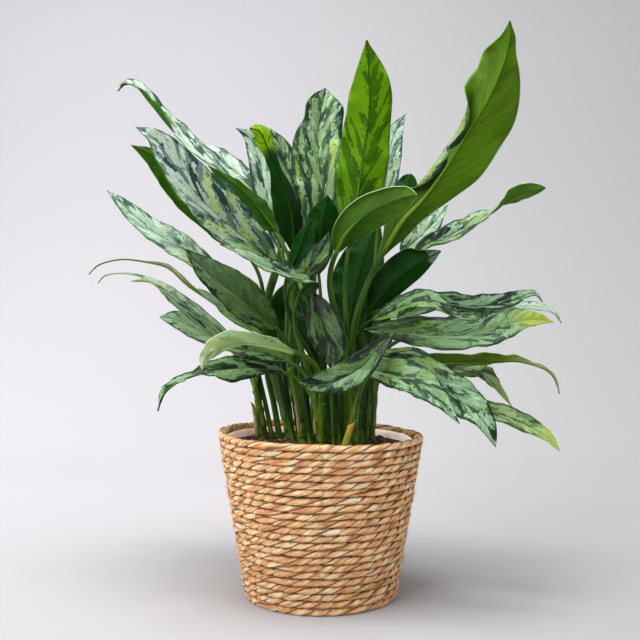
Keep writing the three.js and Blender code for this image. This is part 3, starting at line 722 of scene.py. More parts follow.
class Line:
    """A smooth line through places, in metres"""

    def __init__(self, points):
        self.count = len(points) - 1
        self.points = [2 * points[0] - points[1], *points, 2 * points[-1] - points[-2]]

    def around(self, along):
        """The share between two points, and the four points around it"""
        place = min(along * self.count, self.count - 1e-6)
        start = int(place)
        return place - start, *self.points[start:start + 4]

    def at(self, along):
        return pass_through(*self.around(along))

    def heading(self, along):
        t, before, first, second, after = self.around(along)
        leave, arrive = (second - before) / 2, (after - first) / 2
        slope = (
            first * (6 * t**2 - 6 * t) + second * (6 * t - 6 * t**2)
            + leave * (3 * t**2 - 4 * t + 1) + arrive * (3 * t**2 - 2 * t)
        )
        return slope.normalized()

    def length(self):
        marks = [self.at(step / 40) for step in range(41)]
        return sum((second - first).length for first, second in zip(marks, marks[1:]))


def new_rib(leaf):
    return Line([placed(*place) for place in leaf["rib"]])


def evenly(points, count):
    """Places spread evenly by length along a row of points"""
    runs = [0]
    for first, second in zip(points, points[1:]):
        runs.append(runs[-1] + (second - first).length)
    picked, step = [], 0
    for mark in range(count):
        goal = runs[-1] * mark / (count - 1)
        while step < len(points) - 2 and runs[step + 1] < goal:
            step += 1
        share = (goal - runs[step]) / (runs[step + 1] - runs[step])
        picked.append(points[step].lerp(points[step + 1], share))
    return picked


def bent_line(start, first_pull, second_pull, end):
    """A cubic Bezier curve as a line with evenly spread places"""
    return Line(evenly(interpolate_bezier(start, first_pull, second_pull, end, 200), 25))


def spread_along(values, along):
    """The value at a place along a list that is spread evenly, passing smoothly through each"""
    place = along * (len(values) - 1)
    low = min(int(place), max(len(values) - 2, 0))
    picked = [values[min(max(low + step, 0), len(values) - 1)] for step in (-1, 0, 1, 2)]
    return pass_through(place - low, *picked)


tallest = new_rib(leaf_plans["centre_right_tallest"])
print("rib of the tallest leaf:", round(tallest.length(), 3), "m")

# %% [markdown]
# ## The blade of a leaf
#
# A blade is a sheet with its middle column on the rib. Going outwards from the rib each half first
# rises and then levels out, like a shallow gutter, its margin is waved, and some margins roll
# over. So the section is walked from the rib outwards in small steps, with an angle for each step,
# and the edge ends up where those steps lead.
#
# The sheet gets its thickness from a Solidify modifier. Its second material goes on the side that
# the modifier adds, so the underside can have a finish of its own.

# %% The shape of a blade
BROAD, SLIM, FOLD = 0.4, 1.8, 18
COLUMNS = 9
BLADE_THICKNESS = 0.7
BLADE_STEP, LEAST_ROWS = 3.2, 28
MIDRIB_ROWS, MIDRIB_SHARE = 26, 0.94
MIDRIB_RADIUS, MIDRIB_TIP, MIDRIB_DEPTH = 1.5, 0.25, 0.9
STALK_END_WIDTH, TIP_WIDTH, LEAST_WIDTH = 1.8, 0.2, 0.25


def half_widths(leaf, along):
    """The widths of the two halves of a blade at a place along it, in metres"""
    if "halves" in leaf:
        return [max(LEAST_WIDTH, spread_along(half, along)) * MM for half in leaf["halves"]]
    broad, slim = leaf.get("broad", BROAD), leaf.get("slim", SLIM)
    rise, fall = broad * slim, (1 - broad) * slim
    shape = along**rise * (1 - along)**fall / (broad**rise * (1 - broad)**fall)
    half = max(blend(STALK_END_WIDTH, TIP_WIDTH, along), leaf["width"] / 2 * shape)
    return [half * MM, half * MM]


def blade_frame(leaf, rib, along):
    """The directions to a blade's second edge and out of its upper side"""
    forward = rib.heading(along)
    facing = Vector((0, -1, 0))
    facing = (facing - forward * facing.dot(forward)).normalized()
    turns = leaf["turn"]
    place = along * (len(turns) - 1)
    low = int(place)
    turn = blend(turns[low], turns[min(low + 1, len(turns) - 1)], place - low)
    cosine, sine = math.cos(math.radians(turn)), math.sin(math.radians(turn))
    facing = facing * cosine + forward.cross(facing) * sine
    return forward.cross(facing), facing


def roll_angle(leaf, hand, along, share):
    """How far the rolls of a leaf turn its half at a place, in degrees"""
    angle = 0
    for roll_hand, start, end, inner, outer, degrees in leaf.get("rolls", []):
        if roll_hand == hand and start < along < end:
            amount = math.sin(math.pi * (along - start) / (end - start)) ** 0.7
            angle += degrees * amount * ease(share, inner, outer)
    return angle


def margin_wave(along, share, hand, phase):
    """Three waves that grow towards the margin, as shares of the half's width"""
    wave = 0.07 * math.sin(2 * math.pi * 2.5 * along + hand) * share
    wave += 0.07 * math.sin(2 * math.pi * 5.7 * along + 2.1 * hand + phase) * share**2
    return wave + 0.045 * math.sin(2 * math.pi * 11.0 * along + hand + 3 * phase) * share**3


def blade_section(leaf, rib, along, phase):
    """Places across a blade, from its first edge over the rib to its second edge"""
    centre = rib.at(along)
    side, facing = blade_frame(leaf, rib, along)
    folds = leaf.get("folds", [leaf.get("fold", FOLD)] * 2)
    section = {0: (centre - facing * 0.5 * MM, 0)}
    for hand, half, fold in zip((-1, 1), half_widths(leaf, along), folds):
        x, y = 0, 0
        for column in range(1, COLUMNS + 1):
            share = column / COLUMNS
            angle = math.radians(fold * (1.6 - 1.2 * share) + roll_angle(leaf, hand, along, share))
            x += half / COLUMNS * math.cos(angle)
            y += half / COLUMNS * math.sin(angle)
            wave = margin_wave(along, share, hand, phase)
            place = centre + side * hand * x + facing * (y + half * wave)
            section[hand * column] = (place, share * half)
    return section


def new_blade(leaf, rib, seed):
    sections = {}
    length = rib.length()
    rows = max(LEAST_ROWS, round(length / (BLADE_STEP * MM)))

    def rule(across, along):
        row = round(along * rows)
        even = row / rows
        # Steps are drawn closer together at both ends, where the outline turns most
        step = (even + (1 - math.cos(math.pi * even)) / 2) / 2
        if row not in sections:
            sections[row] = blade_section(leaf, rib, step, seed * 1.7)
        column = round((across - 0.5) * 2 * COLUMNS)
        place, from_rib = sections[row][column]
        sign = 1 if column >= 0 else -1
        share = (column / COLUMNS, step, 0)
        span = (sign * max(from_rib, 1e-6) * 100, step * length * 100, seed * 3.1)
        return place, share, span

    return new_sheet(rule, 2 * COLUMNS, rows)


def new_midrib(leaf, rib, seed):
    """The round rib that stands out of the underside and fades towards the tip"""
    length = rib.length()

    def rule(around, along):
        step = along * MIDRIB_SHARE
        side, facing = blade_frame(leaf, rib, step)
        radius = blend(MIDRIB_RADIUS * leaf.get("stout", 1), MIDRIB_TIP, ease(step, 0, 0.6)) * MM
        turn = around * 2 * math.pi
        centre = rib.at(step) - facing * (MIDRIB_DEPTH * MM + radius * 0.1)
        place = centre + side * math.cos(turn) * radius + facing * math.sin(turn) * radius
        return place, (0, step, 0), (0.001, step * length * 100, seed * 3.1)

    return close_up(new_sheet(rule, 6, MIDRIB_ROWS), 0.01, 12)


print("blade helpers ready")

# %% [markdown]
# ## Make the leaves
#
# Every leaf of the plan becomes two pieces: its blade, which replaces the CAD blade, and its
# midrib, which is only a fine detail below it.

# %% Make the leaves
for seed, (name, leaf) in enumerate(leaf_plans.items(), 1):
    rib = new_rib(leaf)
    upper, lower = (leaf_finishes[look] for look in leaf["looks"])
    blade = new_blade(leaf, rib, seed)
    piece = finish_piece(f"{name}_leaf", blade, [upper, lower], [f"leaf_{name}"])
    thicken(piece, BLADE_THICKNESS, offset=0, use_even_offset=False, material_offset=1,
            material_offset_rim=1)
    finish_piece(f"{name}_rib", new_midrib(leaf, rib, seed), [lower])
print("leaves:", len(leaf_plans))

# %% [markdown]
# ## Finishes for stalks
#
# A stalk is striped lengthwise. Low down it is older: paler, yellower, with brown marks. Round
# things have no seam in their finish when the noise reads the place on the circle instead of an
# angle, so `span` holds the two distances across the tube and the distance along it.

# %% Stalk finishes
OLD_BELOW = 0.185


def stalk_finish(name, green, dark, pale):
    finish = Finish(name, Specular_IOR_Level=0.22)
    green, dark, pale = paint(*green), paint(*dark), paint(*pale)
    x, y, run = finish.attribute("span")
    height = finish.parts(finish.object_place())[2]
    low = finish.rises(OLD_BELOW - height, 0.0, 0.04)
    stripes = finish.noise((x * 11.0, y * 11.0, run * 0.1), 1.0, 3, 0.6)
    clouds = finish.noise((x * 2.0, y * 2.0, run * 0.3 + 40.0), 1.0, 3)
    marks = finish.noise((x * 3.0, y * 3.0, run * 1.2 + 80.0), 1.3, 4, 0.7)
    joints = finish.rises(abs(finish.maths("FRACT", run * 0.37) - 0.5), 0.47, 0.5)
    colour = finish.mix(finish.rises(clouds, 0.36, 0.64), dark, green)
    for share, layer in (
        (finish.rises(stripes, 0.52, 0.66) * 0.4, pale),
        (finish.rises(0.44 - stripes, 0.0, 0.1) * 0.5, dark),
        (low * finish.rises(clouds, 0.4, 0.62) * 0.45, paint(132, 138, 50)),
        (finish.rises(marks + low * 0.05, 0.66, 0.72) * 0.8, paint(104, 76, 36)),
        (joints * low * 0.5, paint(128, 120, 58)),
    ):
        colour = finish.mix(share, colour, layer)
    finish.colour(finish.sheltered(colour, 0.85))
    finish.roughness(0.34 + clouds * 0.2)
    finish.relief(stripes + marks * 0.3, 0.0002, 0.6)
    return finish


stalk_green = stalk_finish("stalk_green", (104, 136, 38), (58, 94, 18), (136, 162, 78))
# A darker copy of the stalk finish: painted shade for stalks and spears at the back and in the
# middle
stalk_painted_shade = stalk_finish("stalk_painted_shade", (58, 96, 16), (30, 62, 6), (90, 124, 44))

husk = Finish("dry_husk", Roughness=0.7)
husk_x, husk_y, husk_run = husk.attribute("span")
husk_lines = husk.noise((husk_x * 16.0, husk_y * 16.0, husk_run * 0.6), 1.0, 3, 0.6)
husk_stain = husk.noise((husk_x * 2.0, husk_y * 2.0, husk_run * 1.4), 1.2, 3, 0.6)
husk_colour = husk.mix(husk.rises(husk_lines, 0.35, 0.65), paint(104, 96, 46), paint(160, 152, 96))
husk.colour(husk.mix(husk.rises(husk_stain, 0.52, 0.64), husk_colour, paint(104, 74, 42)))
husk.relief(husk_lines, 0.0003)
print("stalk finishes ready")

# %% [markdown]
# ## Canes, stalks and sheaths
#
# A tube follows a line, and its rings must not spin about it. Each ring takes the direction of the
# one before and only straightens it against the line, which keeps the stripes of a stalk parallel
# to it.
#
# Low on a stem the stalks clasp the cane with sheaths, half tubes that open towards the front of
# the stalk and end some way up it. They give the foot of the plant its bundled look.

# %% Helpers for tubes
SOIL_TOP, COLLAR = 148, 6
CANE_DEPTH, ROOT_DEPTH = 10, 8
CANE_TAPER = 0.7
STALK_RADIUS, STALK_END = 3, 1.8
TOWARDS_CAMERA = (0, -1, 0)


def frames_along(path, rows, facing=TOWARDS_CAMERA):
    """Places along a line, each with two directions across it that don't spin about it"""
    facing = Vector(facing)
    frames = []
    for row in range(rows + 1):
        forward = path.heading(row / rows)
        facing = (facing - forward * facing.dot(forward)).normalized()
        frames.append((path.at(row / rows), forward.cross(facing), facing))
    return frames


def sheet_along(frames, section, across):
    """A sheet that follows a line. A section gives x and y in millimetres and values to keep."""
    rows = len(frames) - 1

    def rule(around, along):
        centre, side, front = frames[round(along * rows)]
        x, y, *values = section(around, along)
        return centre + (side * x + front * y) * MM, *values

    return new_sheet(rule, across, rows)


def new_tube(path, rows, sides, radius_at, seed, facing=TOWARDS_CAMERA):
    """A closed tube. Its radius, in millimetres, may change along it and around it."""
    length = path.length()

    def section(around, along):
        turn = 2 * math.pi * around
        radius = radius_at(along, turn)
        x, y = math.cos(turn) * radius, math.sin(turn) * radius
        span = (x / 10, y / 10, length * along * 100 + seed * 40)
        return x, y, (x / radius, y / radius, along), span

    return close_up(sheet_along(frames_along(path, rows, facing), section, sides), 0.005, sides)


def cane_line(stem):
    low = Vector((*stem["foot"], SOIL_TOP + COLLAR / 2)) * MM
    high = placed(*stem["top"])
    low_pull = low + Vector((0, 0, (high.z - low.z) / 3))
    return bent_line(low, low_pull, low.lerp(high, 2 / 3), high)


def stalk_line(cane, leaf):
    """A stalk leaves its cane upwards and runs a little way into the rib of its blade"""
    rib = new_rib(leaf)
    start, leave, arrive = cane.at(leaf["from"]), cane.heading(leaf["from"]), rib.heading(0)
    end = rib.at(0) + arrive * 2 * MM
    pull = (end - start).length * 0.4
    return bent_line(start, start + leave * pull, end - arrive * pull, end)


def cane_radius(stem, along, turn):
    radius = blend(stem["radius"], max(STALK_RADIUS, stem["radius"] * CANE_TAPER), along)
    joints = abs((along * 3.3) % 1 - 0.5) * 2
    return radius * (1 + 0.04 * ease(joints, 0.85, 1) + 0.02 * math.sin(3 * turn + along * 4))


def stalk_radius(stout, along, turn):
    """Rounder below, flat above, and widest where it clasps the cane"""
    radius = blend(STALK_RADIUS, STALK_END, ease(along, 0, 1)) + 0.4 * (1 - ease(along, 0, 0.3))
    return stout * radius * (1 - 0.16 * max(0, math.sin(turn)) ** 3)


print("tube helpers ready")

# %% [markdown]
# A sheath starts on the cane below the stalk's own start and is walked along both lines. Its
# section is an arc that gets shorter upwards, so its two margins run together along the stalk.

# %% Make the stems
SHEATH_ROWS, SHEATH_THICKNESS = 22, 0.45
SHEATH_OPEN, SHEATH_SHUT = 140, 62


def new_sheath(cane, stem, leaf, stalk, seed):
    reach = 0.25 + 0.1 * math.sin(seed * 2.3)
    low = max(0.03, leaf["from"] - 0.55)
    places = [cane.at(blend(low, leaf["from"], step / 12)) for step in range(12)]
    places += [stalk.at(reach * step / 8) for step in range(9)]
    outward = stalk.at(0.4) - cane.at(leaf["from"])
    frames = frames_along(Line(evenly(places, 22)), SHEATH_ROWS, outward)
    low_radius = cane_radius(stem, low, 0) + 0.7
    top_radius = STALK_RADIUS * leaf.get("stout", 1) * 0.98

    def section(around, along):
        ends = 1 - 0.25 * ease(along, 0.9, 1)
        turn = (around - 0.5) * 2 * math.radians(blend(SHEATH_OPEN, SHEATH_SHUT, along)) * ends
        radius = blend(low_radius, top_radius, ease(along, 0.1, 0.9))
        flare = 0.9 * abs(around - 0.5) ** 3 * 8 * (1 + 0.6 * math.sin(along * 19 + seed))
        x, y = math.sin(turn) * (radius + flare), math.cos(turn) * (radius + flare)
        span = (x / 10, y / 10, along * 8 + seed * 40)
        return x, y, (x / radius, y / radius, along), span

    return sheet_along(frames, section, 10)


for seed, (stem_name, stem) in enumerate(stems.items(), 1):
    cane = cane_line(stem)
    stalks, sheaths = bmesh.new(), bmesh.new()
    foot = Vector((*stem["foot"], SOIL_TOP - CANE_DEPTH)) * MM
    rooted = Line([foot, *cane.points[1:-1]])
    thick = lambda along, turn: cane_radius(stem, along, turn)
    pour(new_tube(rooted, 44, 14, thick, seed), stalks)
    for number, leaf in enumerate(stem["leaves"].values(), seed * 5):
        stalk = stalk_line(cane, leaf)
        rows = max(20, round(stalk.length() / (3 * MM)))
        toward = new_rib(leaf).heading(0).cross(Vector(TOWARDS_CAMERA)).cross(stalk.heading(0))
        stout = leaf.get("stout", 1)
        thick = lambda along, turn: stalk_radius(stout, along, turn)
        pour(new_tube(stalk, rows, 12, thick, number, toward), stalks)
        pour(new_sheath(cane, stem, leaf, stalk, number), sheaths)
    # Stems in the middle and at the back get the darker copy: painted shade
    look = stalk_painted_shade if stem_name in ("centre", "back", "right") else stalk_green
    finish_piece(f"{stem_name}_stalks", stalks, [look], [f"stem_{stem_name}"])
    wraps = finish_piece(f"{stem_name}_sheaths", sheaths, [look])
    thicken(wraps, SHEATH_THICKNESS)
print("stems:", len(stems))

# %% [markdown]
# Between the stems stand spears, young leaves that are still rolled up. Each is a smooth tube that
# ends in a point behind the stalks in front of it. They take the darker stalk finish, painted
# shade, and so also fill the shade between the stems with dark green.

# %% Make the spears
spear_plans = [
    ((-27, 14), (-50, 252, 20), 3.1), ((-10, 18), (-21, 266, 26), 3.2),
    ((-9, -4), (-25, 244, -6), 2.6), ((20, -10), (17, 236, -18), 2.6),
    ((21, 24), (19, 266, 24), 3.2), ((37, -6), (41, 238, -8), 2.4), ((42, 30), (48, 262, 30), 2.8),
    ((-21, 36), (-38, 270, 48), 3.2), ((-2, 34), (-5, 268, 34), 3.2), ((30, 34), (30, 258, 36), 3),
    ((-38, 10), (-58, 232, 8), 2.5), ((3, 10), (-8, 258, 4), 2.8),
    ((-42, 44), (-58, 248, 54), 3.4), ((-29, 52), (-44, 278, 60), 3.4),
    ((-17, 56), (-27, 262, 58), 3.4), ((-6, 70), (-12, 284, 66), 3.6),
    ((16, 62), (12, 256, 60), 3.4), ((26, 52), (24, 280, 56), 3.4), ((38, 52), (40, 250, 56), 3.4),
    ((-48, 26), (-66, 236, 30), 2.6), ((14, -20), (8, 232, -28), 2.2),
]


def spear_radius(thick, along, turn):
    point = (1 - 0.15 * along) * (1 - ease(along, 0.75, 1))
    return max(0.3, thick * point * (1 + 0.08 * math.sin(turn * 2)))


spears = bmesh.new()
for number, (foot, top, thick) in enumerate(spear_plans):
    low, high = Vector((*foot, SOIL_TOP - ROOT_DEPTH)) * MM, placed(*top)
    line = bent_line(low, low.lerp(high, 0.3) + Vector((0, 0, 8)) * MM, low.lerp(high, 0.7), high)
    thickness = lambda along, turn: spear_radius(thick, along, turn)
    pour(new_tube(line, 40, 10, thickness, 70 + number), spears)
finish_piece("spears", spears, [stalk_painted_shade])
print("spears:", len(spear_plans))

# %% [markdown]
# ## The cut stub and the dry husks
#
# One stalk was cut off, and its stub has dried from the cut down. A few husks, what is left of the
# oldest sheaths, still stand around the stems.

# %% Make the stub and the husks
STUB_FOOT, STUB_TOP, STUB_RADIUS = (19, -33), (31, 168, -33), 3
HUSK_ROWS, HUSK_THICKNESS = 24, 0.35

stub = Finish("stub", Specular_IOR_Level=0.4)
stub_x, stub_y, stub_run = stub.attribute("span")
stub_height = stub.parts(stub.object_place())[2]
stub_lines = stub.noise((stub_x * 9, stub_y * 9, stub_run * 0.3), 1.0, 3, 0.6)
lit_side = stub.rises(stub_x + stub_lines * 0.3, 0.1, 0.3)
dried = stub.rises(stub_height + stub_lines * 0.01, 0.164, 0.174)
stub_colour = stub.mix(lit_side, paint(112, 130, 26), paint(176, 160, 52))
stub_colour = stub.mix(dried, stub_colour, paint(172, 134, 54))
stub.colour(stub.mix(stub.rises(stub_lines, 0.55, 0.7) * 0.6, stub_colour, paint(96, 66, 24)))
stub.roughness(0.5 + stub_lines * 0.3)
stub.relief(stub_lines, 0.0005)


def stub_radius(along, turn):
    return STUB_RADIUS * (1 + 0.1 * math.sin(2 * turn))


stub_low, stub_high = Vector((*STUB_FOOT, SOIL_TOP - ROOT_DEPTH)) * MM, placed(*STUB_TOP)
stub_line = Line(evenly([stub_low, stub_low.lerp(stub_high, 0.5), stub_high], 12))
stub_shape = new_tube(stub_line, 20, 16, stub_radius, 3)
for corner in stub_shape.verts:
    share = corner[stub_shape.verts.layers.float_vector["share"]]
    if share.z > 0.96:
        corner.co.z += (2.4 * share.x + 0.8 * math.sin(share.y * 9)) * MM
finish_piece("stub_cut", stub_shape, [stub], ["cut_stub"])


def new_husk(places, width, curl, seed):
    """A narrow strip that curls about its own length and ends in a torn point"""
    frames = frames_along(Line([placed(*place) for place in places]), HUSK_ROWS)

    def section(across, along):
        torn = 0.25 * math.sin(along * 23 + seed) * along
        half = width / 2 * (1 - ease(along, 0.55, 1) * 0.85) * (1 + torn)
        turn = (across - 0.5) * curl
        x = math.sin(turn) / (curl / 2) * half
        y = (1 - math.cos(turn)) * half + 0.4 * math.sin(along * 17 + across * 5 + seed)
        return x, -y, (across, along, 0), (x / 10, y / 10, along * 5 + seed * 9)

    return sheet_along(frames, section, 8)


husks = bmesh.new()
husk_plans = [
    ([(-22, 160, -10), (-23, 174, -9), (-25, 188, -9), (-26, 197, -11)], 4, 2.4),
    ([(-64, 156, 16), (-65, 172, 16), (-67, 184, 15), (-70, 190, 12)], 6, 2.6),
    ([(-5, 158, -16), (-6, 170, -17), (-5, 182, -17), (-6, 190, -18)], 4, 2.4),
    ([(16, 158, 62), (18, 176, 66), (20, 190, 68), (24, 198, 72)], 7, 2.2),
]
for number, (places, width, curl) in enumerate(husk_plans, 1):
    pour(new_husk(places, width, curl, number), husks)
thicken(finish_piece("husks", husks, [husk]), HUSK_THICKNESS)
print("husks:", len(husk_plans))

# %% [markdown]
# ## Seagrass
#
# The basket is coiled from two-ply rope of dried seagrass. Each blade of grass has its own tone:
# straw, cream, pink or orange-brown. The tone changes every few centimetres along a strand, where
# one blade ends and the next one starts, and fine fibres run along it. Shade is also painted into
# the grass: it is darker where it faces into the basket, in the seams between the rows and towards
# the foot.

# %% The seagrass finish
grass = Finish("seagrass", Specular_IOR_Level=0.35)
grass_x, grass_y, run = grass.attribute("span")
outward, _, rise = grass.attribute("share")
grass_place = grass.object_place()
fibres = grass.noise((grass_x * 16.0, grass_y * 16.0, run * 0.5), 1.0, 3, 0.6)
blades = grass.noise((grass_x * 2.4, grass_y * 2.4, run * 0.55))
tones = grass.noise((grass_x * 1.2, grass_y * 1.2, run * 0.4 + 300.0))
fuzz = grass.noise(grass_place, 700.0)
# Painted shade in the seams between the rows, broken here and there by a noise
painted_seam_shade = grass.rises(abs(rise) + (fuzz - 0.5) * 0.7, 0.78, 1.0)
seam_shade_breaks = grass.rises(grass.noise(grass_place, 150.0, 3), 0.4, 0.6)
foot_shade = grass.rises(0.13 - grass.parts(grass_place)[2], 0.0, 0.13)
straw = grass.ramp(blades, [
    (0.3, (188, 120, 72)), (0.42, (230, 168, 110)), (0.5, (246, 198, 140)),
    (0.58, (252, 220, 166)), (0.7, (255, 240, 208)),
])
# Besides the grass's own tones, three layers are painted shade: where the strands face into the
# basket, the seams and the foot
for share, layer in (
    (grass.rises(tones, 0.56, 0.64) * 0.55, (238, 162, 124)),
    (grass.rises(0.44 - tones, 0.0, 0.08) * 0.5, (216, 146, 76)),
    (grass.rises(fibres, 0.52, 0.68) * 0.5, (158, 106, 64)),
    (grass.rises(0.42 - fibres, 0.0, 0.12) * 0.3, (248, 230, 190)),
    (grass.rises(0.1 - outward, 0.0, 0.3) * 0.7, (88, 46, 24)),
    (painted_seam_shade * (0.5 + seam_shade_breaks * 0.4), (84, 48, 28)),
    (foot_shade * 0.2, (140, 92, 56)),
):
    straw = grass.mix(share, straw, paint(*layer))
grass.colour(straw)
grass.roughness(0.5 + fibres * 0.25)
grass.relief(fibres, 0.0016, 0.9)

# Painted shade: the wall behind the rope is dark brown, standing for the shade between the rows
# and inside the rim
wall_shade = Finish("rope_wall_painted_shade", Roughness=0.9)
wall_shade_noise = wall_shade.noise(wall_shade.object_place(), 160.0, 4, 0.7)
wall_shade.colour(wall_shade.mix(wall_shade_noise, paint(74, 50, 30), paint(140, 100, 62)))
wall_shade.relief(wall_shade_noise, 0.001)

thread = Finish("sewing_thread", Roughness=0.6)
thread_noise = thread.noise(thread.object_place(), 900.0)
thread.colour(thread.mix(thread_noise, paint(92, 62, 52), paint(150, 108, 80)))
thread.relief(thread_noise, 0.0002)
print("seagrass finishes ready")

# %% [markdown]
# ## The rope
#
# A row of rope is a ring of two strands that wind about each other. A strand is a tube whose
# centre runs round the middle of the row: the angle about the row grows with the angle round the
# basket. Seen from outside the strands then climb to the right. The grass is soft, so the strands
# press each other flat, and their section is wide across the line between their two centres. Slow
# noise moves the rows, the lay of the twist and the thickness of the strands, because the rope was
# made by hand.

# %% Helpers for the rope
BASKET_HEIGHT, FOOT_RADIUS, RIM_RADIUS = 161, 76, 103
ROPE_ROWS = 23
ROPE_PITCH = BASKET_HEIGHT / ROPE_ROWS
RIM_TILT = 0.00015
TWIST_LENGTH = 34
STRAND_OFFSET, OFFSET_OUT, OFFSET_UP = 1.65, 1.1, 0.78
STRAND_THICK, STRAND_WIDE = 2.1, 2.95


def basket_radius(height):
    return blend(FOOT_RADIUS, RIM_RADIUS, height / BASKET_HEIGHT)


def leaned(place):
    """The basket leans a little, so the left of its rim is the higher side"""
    return Vector((place.x, place.y, place.z * (1 - RIM_TILT * place.x / MM)))


def outwards(angle):
    """The direction out of the basket's axis, with the front at angle 0"""
    return Vector((math.sin(angle), -math.cos(angle), 0))


def slow(angle, seed, pace=1.5):
    """Noise from about -1 to 1 that closes on itself round the basket"""
    return noise.noise(Vector((math.cos(angle) * pace, math.sin(angle) * pace, seed * 5.31)))


def strand_rings(radius, height, half, seed, twists, rows):
    """The centre of a strand for each row, the way out from the other one, and the row's level"""
    up = Vector((0, 0, 1))
    for row in range(rows):
        angle = 2 * math.pi * row / rows
        turn = twists * angle + math.pi * half + 3.2 * slow(angle, seed, 2.2) + seed * 2.4
        out = outwards(angle)
        apart = out * math.cos(turn) + up * math.sin(turn)
        offset = STRAND_OFFSET * (1 + 0.2 * slow(angle, seed + 40, 4))
        drift = 1.3 * slow(angle, seed // 4 + 80, 2.5) + 0.6 * slow(angle, seed + 90, 5)
        level = height + drift * min(1, height / 24)
        middle = out * (radius + 0.6 * slow(angle, seed + 120, 4)) + up * level
        shift = out * math.cos(turn) * OFFSET_OUT + up * math.sin(turn) * OFFSET_UP
        yield middle + shift * offset, apart, middle.z


def new_strand(radius, height, half, seed, steps=13, sides=9):
    """One of the two strands of a ring of rope, pressed flat against the other one"""
    twists = max(2, round(2 * math.pi * radius / TWIST_LENGTH))
    rows = twists * steps
    rings = list(strand_rings(radius, height, half, seed, twists, rows))
    lump = seed + half * 7

    def rule(around, along):
        row = round(along * rows) % rows
        centre, apart, level = rings[row]
        forward = (rings[(row + 1) % rows][0] - rings[row - 1][0]).normalized()
        thick = (apart - forward * apart.dot(forward)).normalized()
        wide = forward.cross(thick)
        turn = 2 * math.pi * around
        angle = 2 * math.pi * row / rows
        swell = 1 + 0.28 * slow(angle, lump + 160, 14) + 0.1 * slow(angle, lump + 190, 40)
        x = math.cos(turn) * STRAND_THICK * swell
        y = math.sin(turn) * STRAND_WIDE * swell
        place = centre + thick * x + wide * y
        run = (seed * 2 + half) * 137 + 2 * math.pi * radius * along / 10
        rise = (place.z - level) * 2 / ROPE_PITCH
        return leaned(place * MM), (math.cos(turn), math.sin(turn), rise), (x / 10, y / 10, run)

    return close_up(new_sheet(rule, sides, rows), 0.001)


print("twists in the rim row:", round(2 * math.pi * (RIM_RADIUS - 4) / TWIST_LENGTH))

# %% [markdown]
# ## Coil the basket
#
# The rows are kept in four pieces from the foot to the rim. Each row gets its two strands, and the
# strands of a piece are poured into one bmesh.

# %% Make the rope rows
ROPE_INSET = 4

row_number = 0
for name, count in (("foot", 6), ("middle", 6), ("upper", 6), ("rim", 5)):
    rope = bmesh.new()
    for row_number in range(row_number, row_number + count):
        height = (row_number + 0.5) * ROPE_PITCH
        for half in (0, 1):
            pour(new_strand(basket_radius(height) - ROPE_INSET, height, half, row_number), rope)
    row_number += 1
    made = len(rope.faces)
    finish_piece(f"basket_rope_{name}", rope, [grass], ["basket"])
    print(name, "rows:", count, "faces:", made)

# %% [markdown]
# Flat rings of the same rope close the bottom. Behind the rope stands a plain wall, so that no
# light passes between the rows. Its dark brown is painted shade, which shows between the rows and
# inside the basket above the liner.

# %% Make the bottom rings and the wall behind the rope
WALL_LOW, WALL_TOP, WALL_OUTSIDE, WALL_INSIDE = 3, 156, 5.2, 7.4
BOTTOM_RINGS, BOTTOM_RADIUS, BOTTOM_PITCH, BOTTOM_LEVEL = 10, 70, 7.2, 4.2

bottom = bmesh.new()
for ring in range(BOTTOM_RINGS):
    radius = BOTTOM_RADIUS - ring * BOTTOM_PITCH
    for half in (0, 1):
        pour(new_strand(radius, BOTTOM_LEVEL, half, 50 + ring, 9, 6), bottom)
finish_piece("basket_bottom", bottom, [grass], ["basket"])


def on_basket(angle, height, out):
    """A place on the basket, some millimetres out of its outside"""
    radius = basket_radius(height) + out
    return leaned(Vector((math.sin(angle) * radius, -math.cos(angle) * radius, height)) * MM)


def wall_place(around, along):
    """Up the outside of the wall and down its inside"""
    height, inset = blend(WALL_LOW, WALL_TOP, min(1, along * 2)), WALL_OUTSIDE
    if along > 0.5:
        height, inset = blend(WALL_TOP, WALL_LOW, along * 2 - 1), WALL_INSIDE
    return (on_basket(2 * math.pi * around, height, -inset),)


wall = close_up(new_sheet(wall_place, 96, 16, ()), 0.01, 0)
finish_piece("basket_wall", wall, [wall_shade], ["basket"])
print("bottom and wall ready")

# %% [markdown]
# ## Thread and loose fibres
#
# The rows are sewn together, and the thread shows as short dark stitches in the seams. Broken
# fibres stand off the rope here and there. Both are hundreds of pieces, so each has only a few
# faces.

# %% Make the stitches and the fibres
STITCH_SPACING, STITCH_RADIUS = 9.5, 0.5
STITCH_BENDS = ((-2.2, -2.4), (-0.7, -1.1), (0.9, -1.1), (2.2, -2.4))
FIBRES = 640


def new_sliver(places, radius):
    """A thin tube with three sides through a few places, open at its ends"""
    def section(around, along):
        x, y = math.cos(2 * math.pi * around), math.sin(2 * math.pi * around)
        thick = radius * (1 - 0.6 * along)
        return x * thick, y * thick, (1, 0, 0), (x / 20, y / 20, along)

    return merge(sheet_along(frames_along(Line(places), len(places) - 1), section, 3), 0.001)


chance = random.Random(11)
stitches = bmesh.new()
stitch_count = 0
for seam_row in range(1, ROPE_ROWS):
    height = seam_row * ROPE_PITCH
    radius = basket_radius(height)
    count = round(2 * math.pi * radius / STITCH_SPACING)
    for step in range(count):
        angle = 2 * math.pi * (step + 0.5 * chance.random()) / count
        lean = chance.uniform(0.2, 0.5) * 2 / radius
        places = [on_basket(angle + lean * up, height + up, out) for up, out in STITCH_BENDS]
        pour(new_sliver(places, STITCH_RADIUS), stitches)
    stitch_count += count
finish_piece("basket_stitches", stitches, [thread])

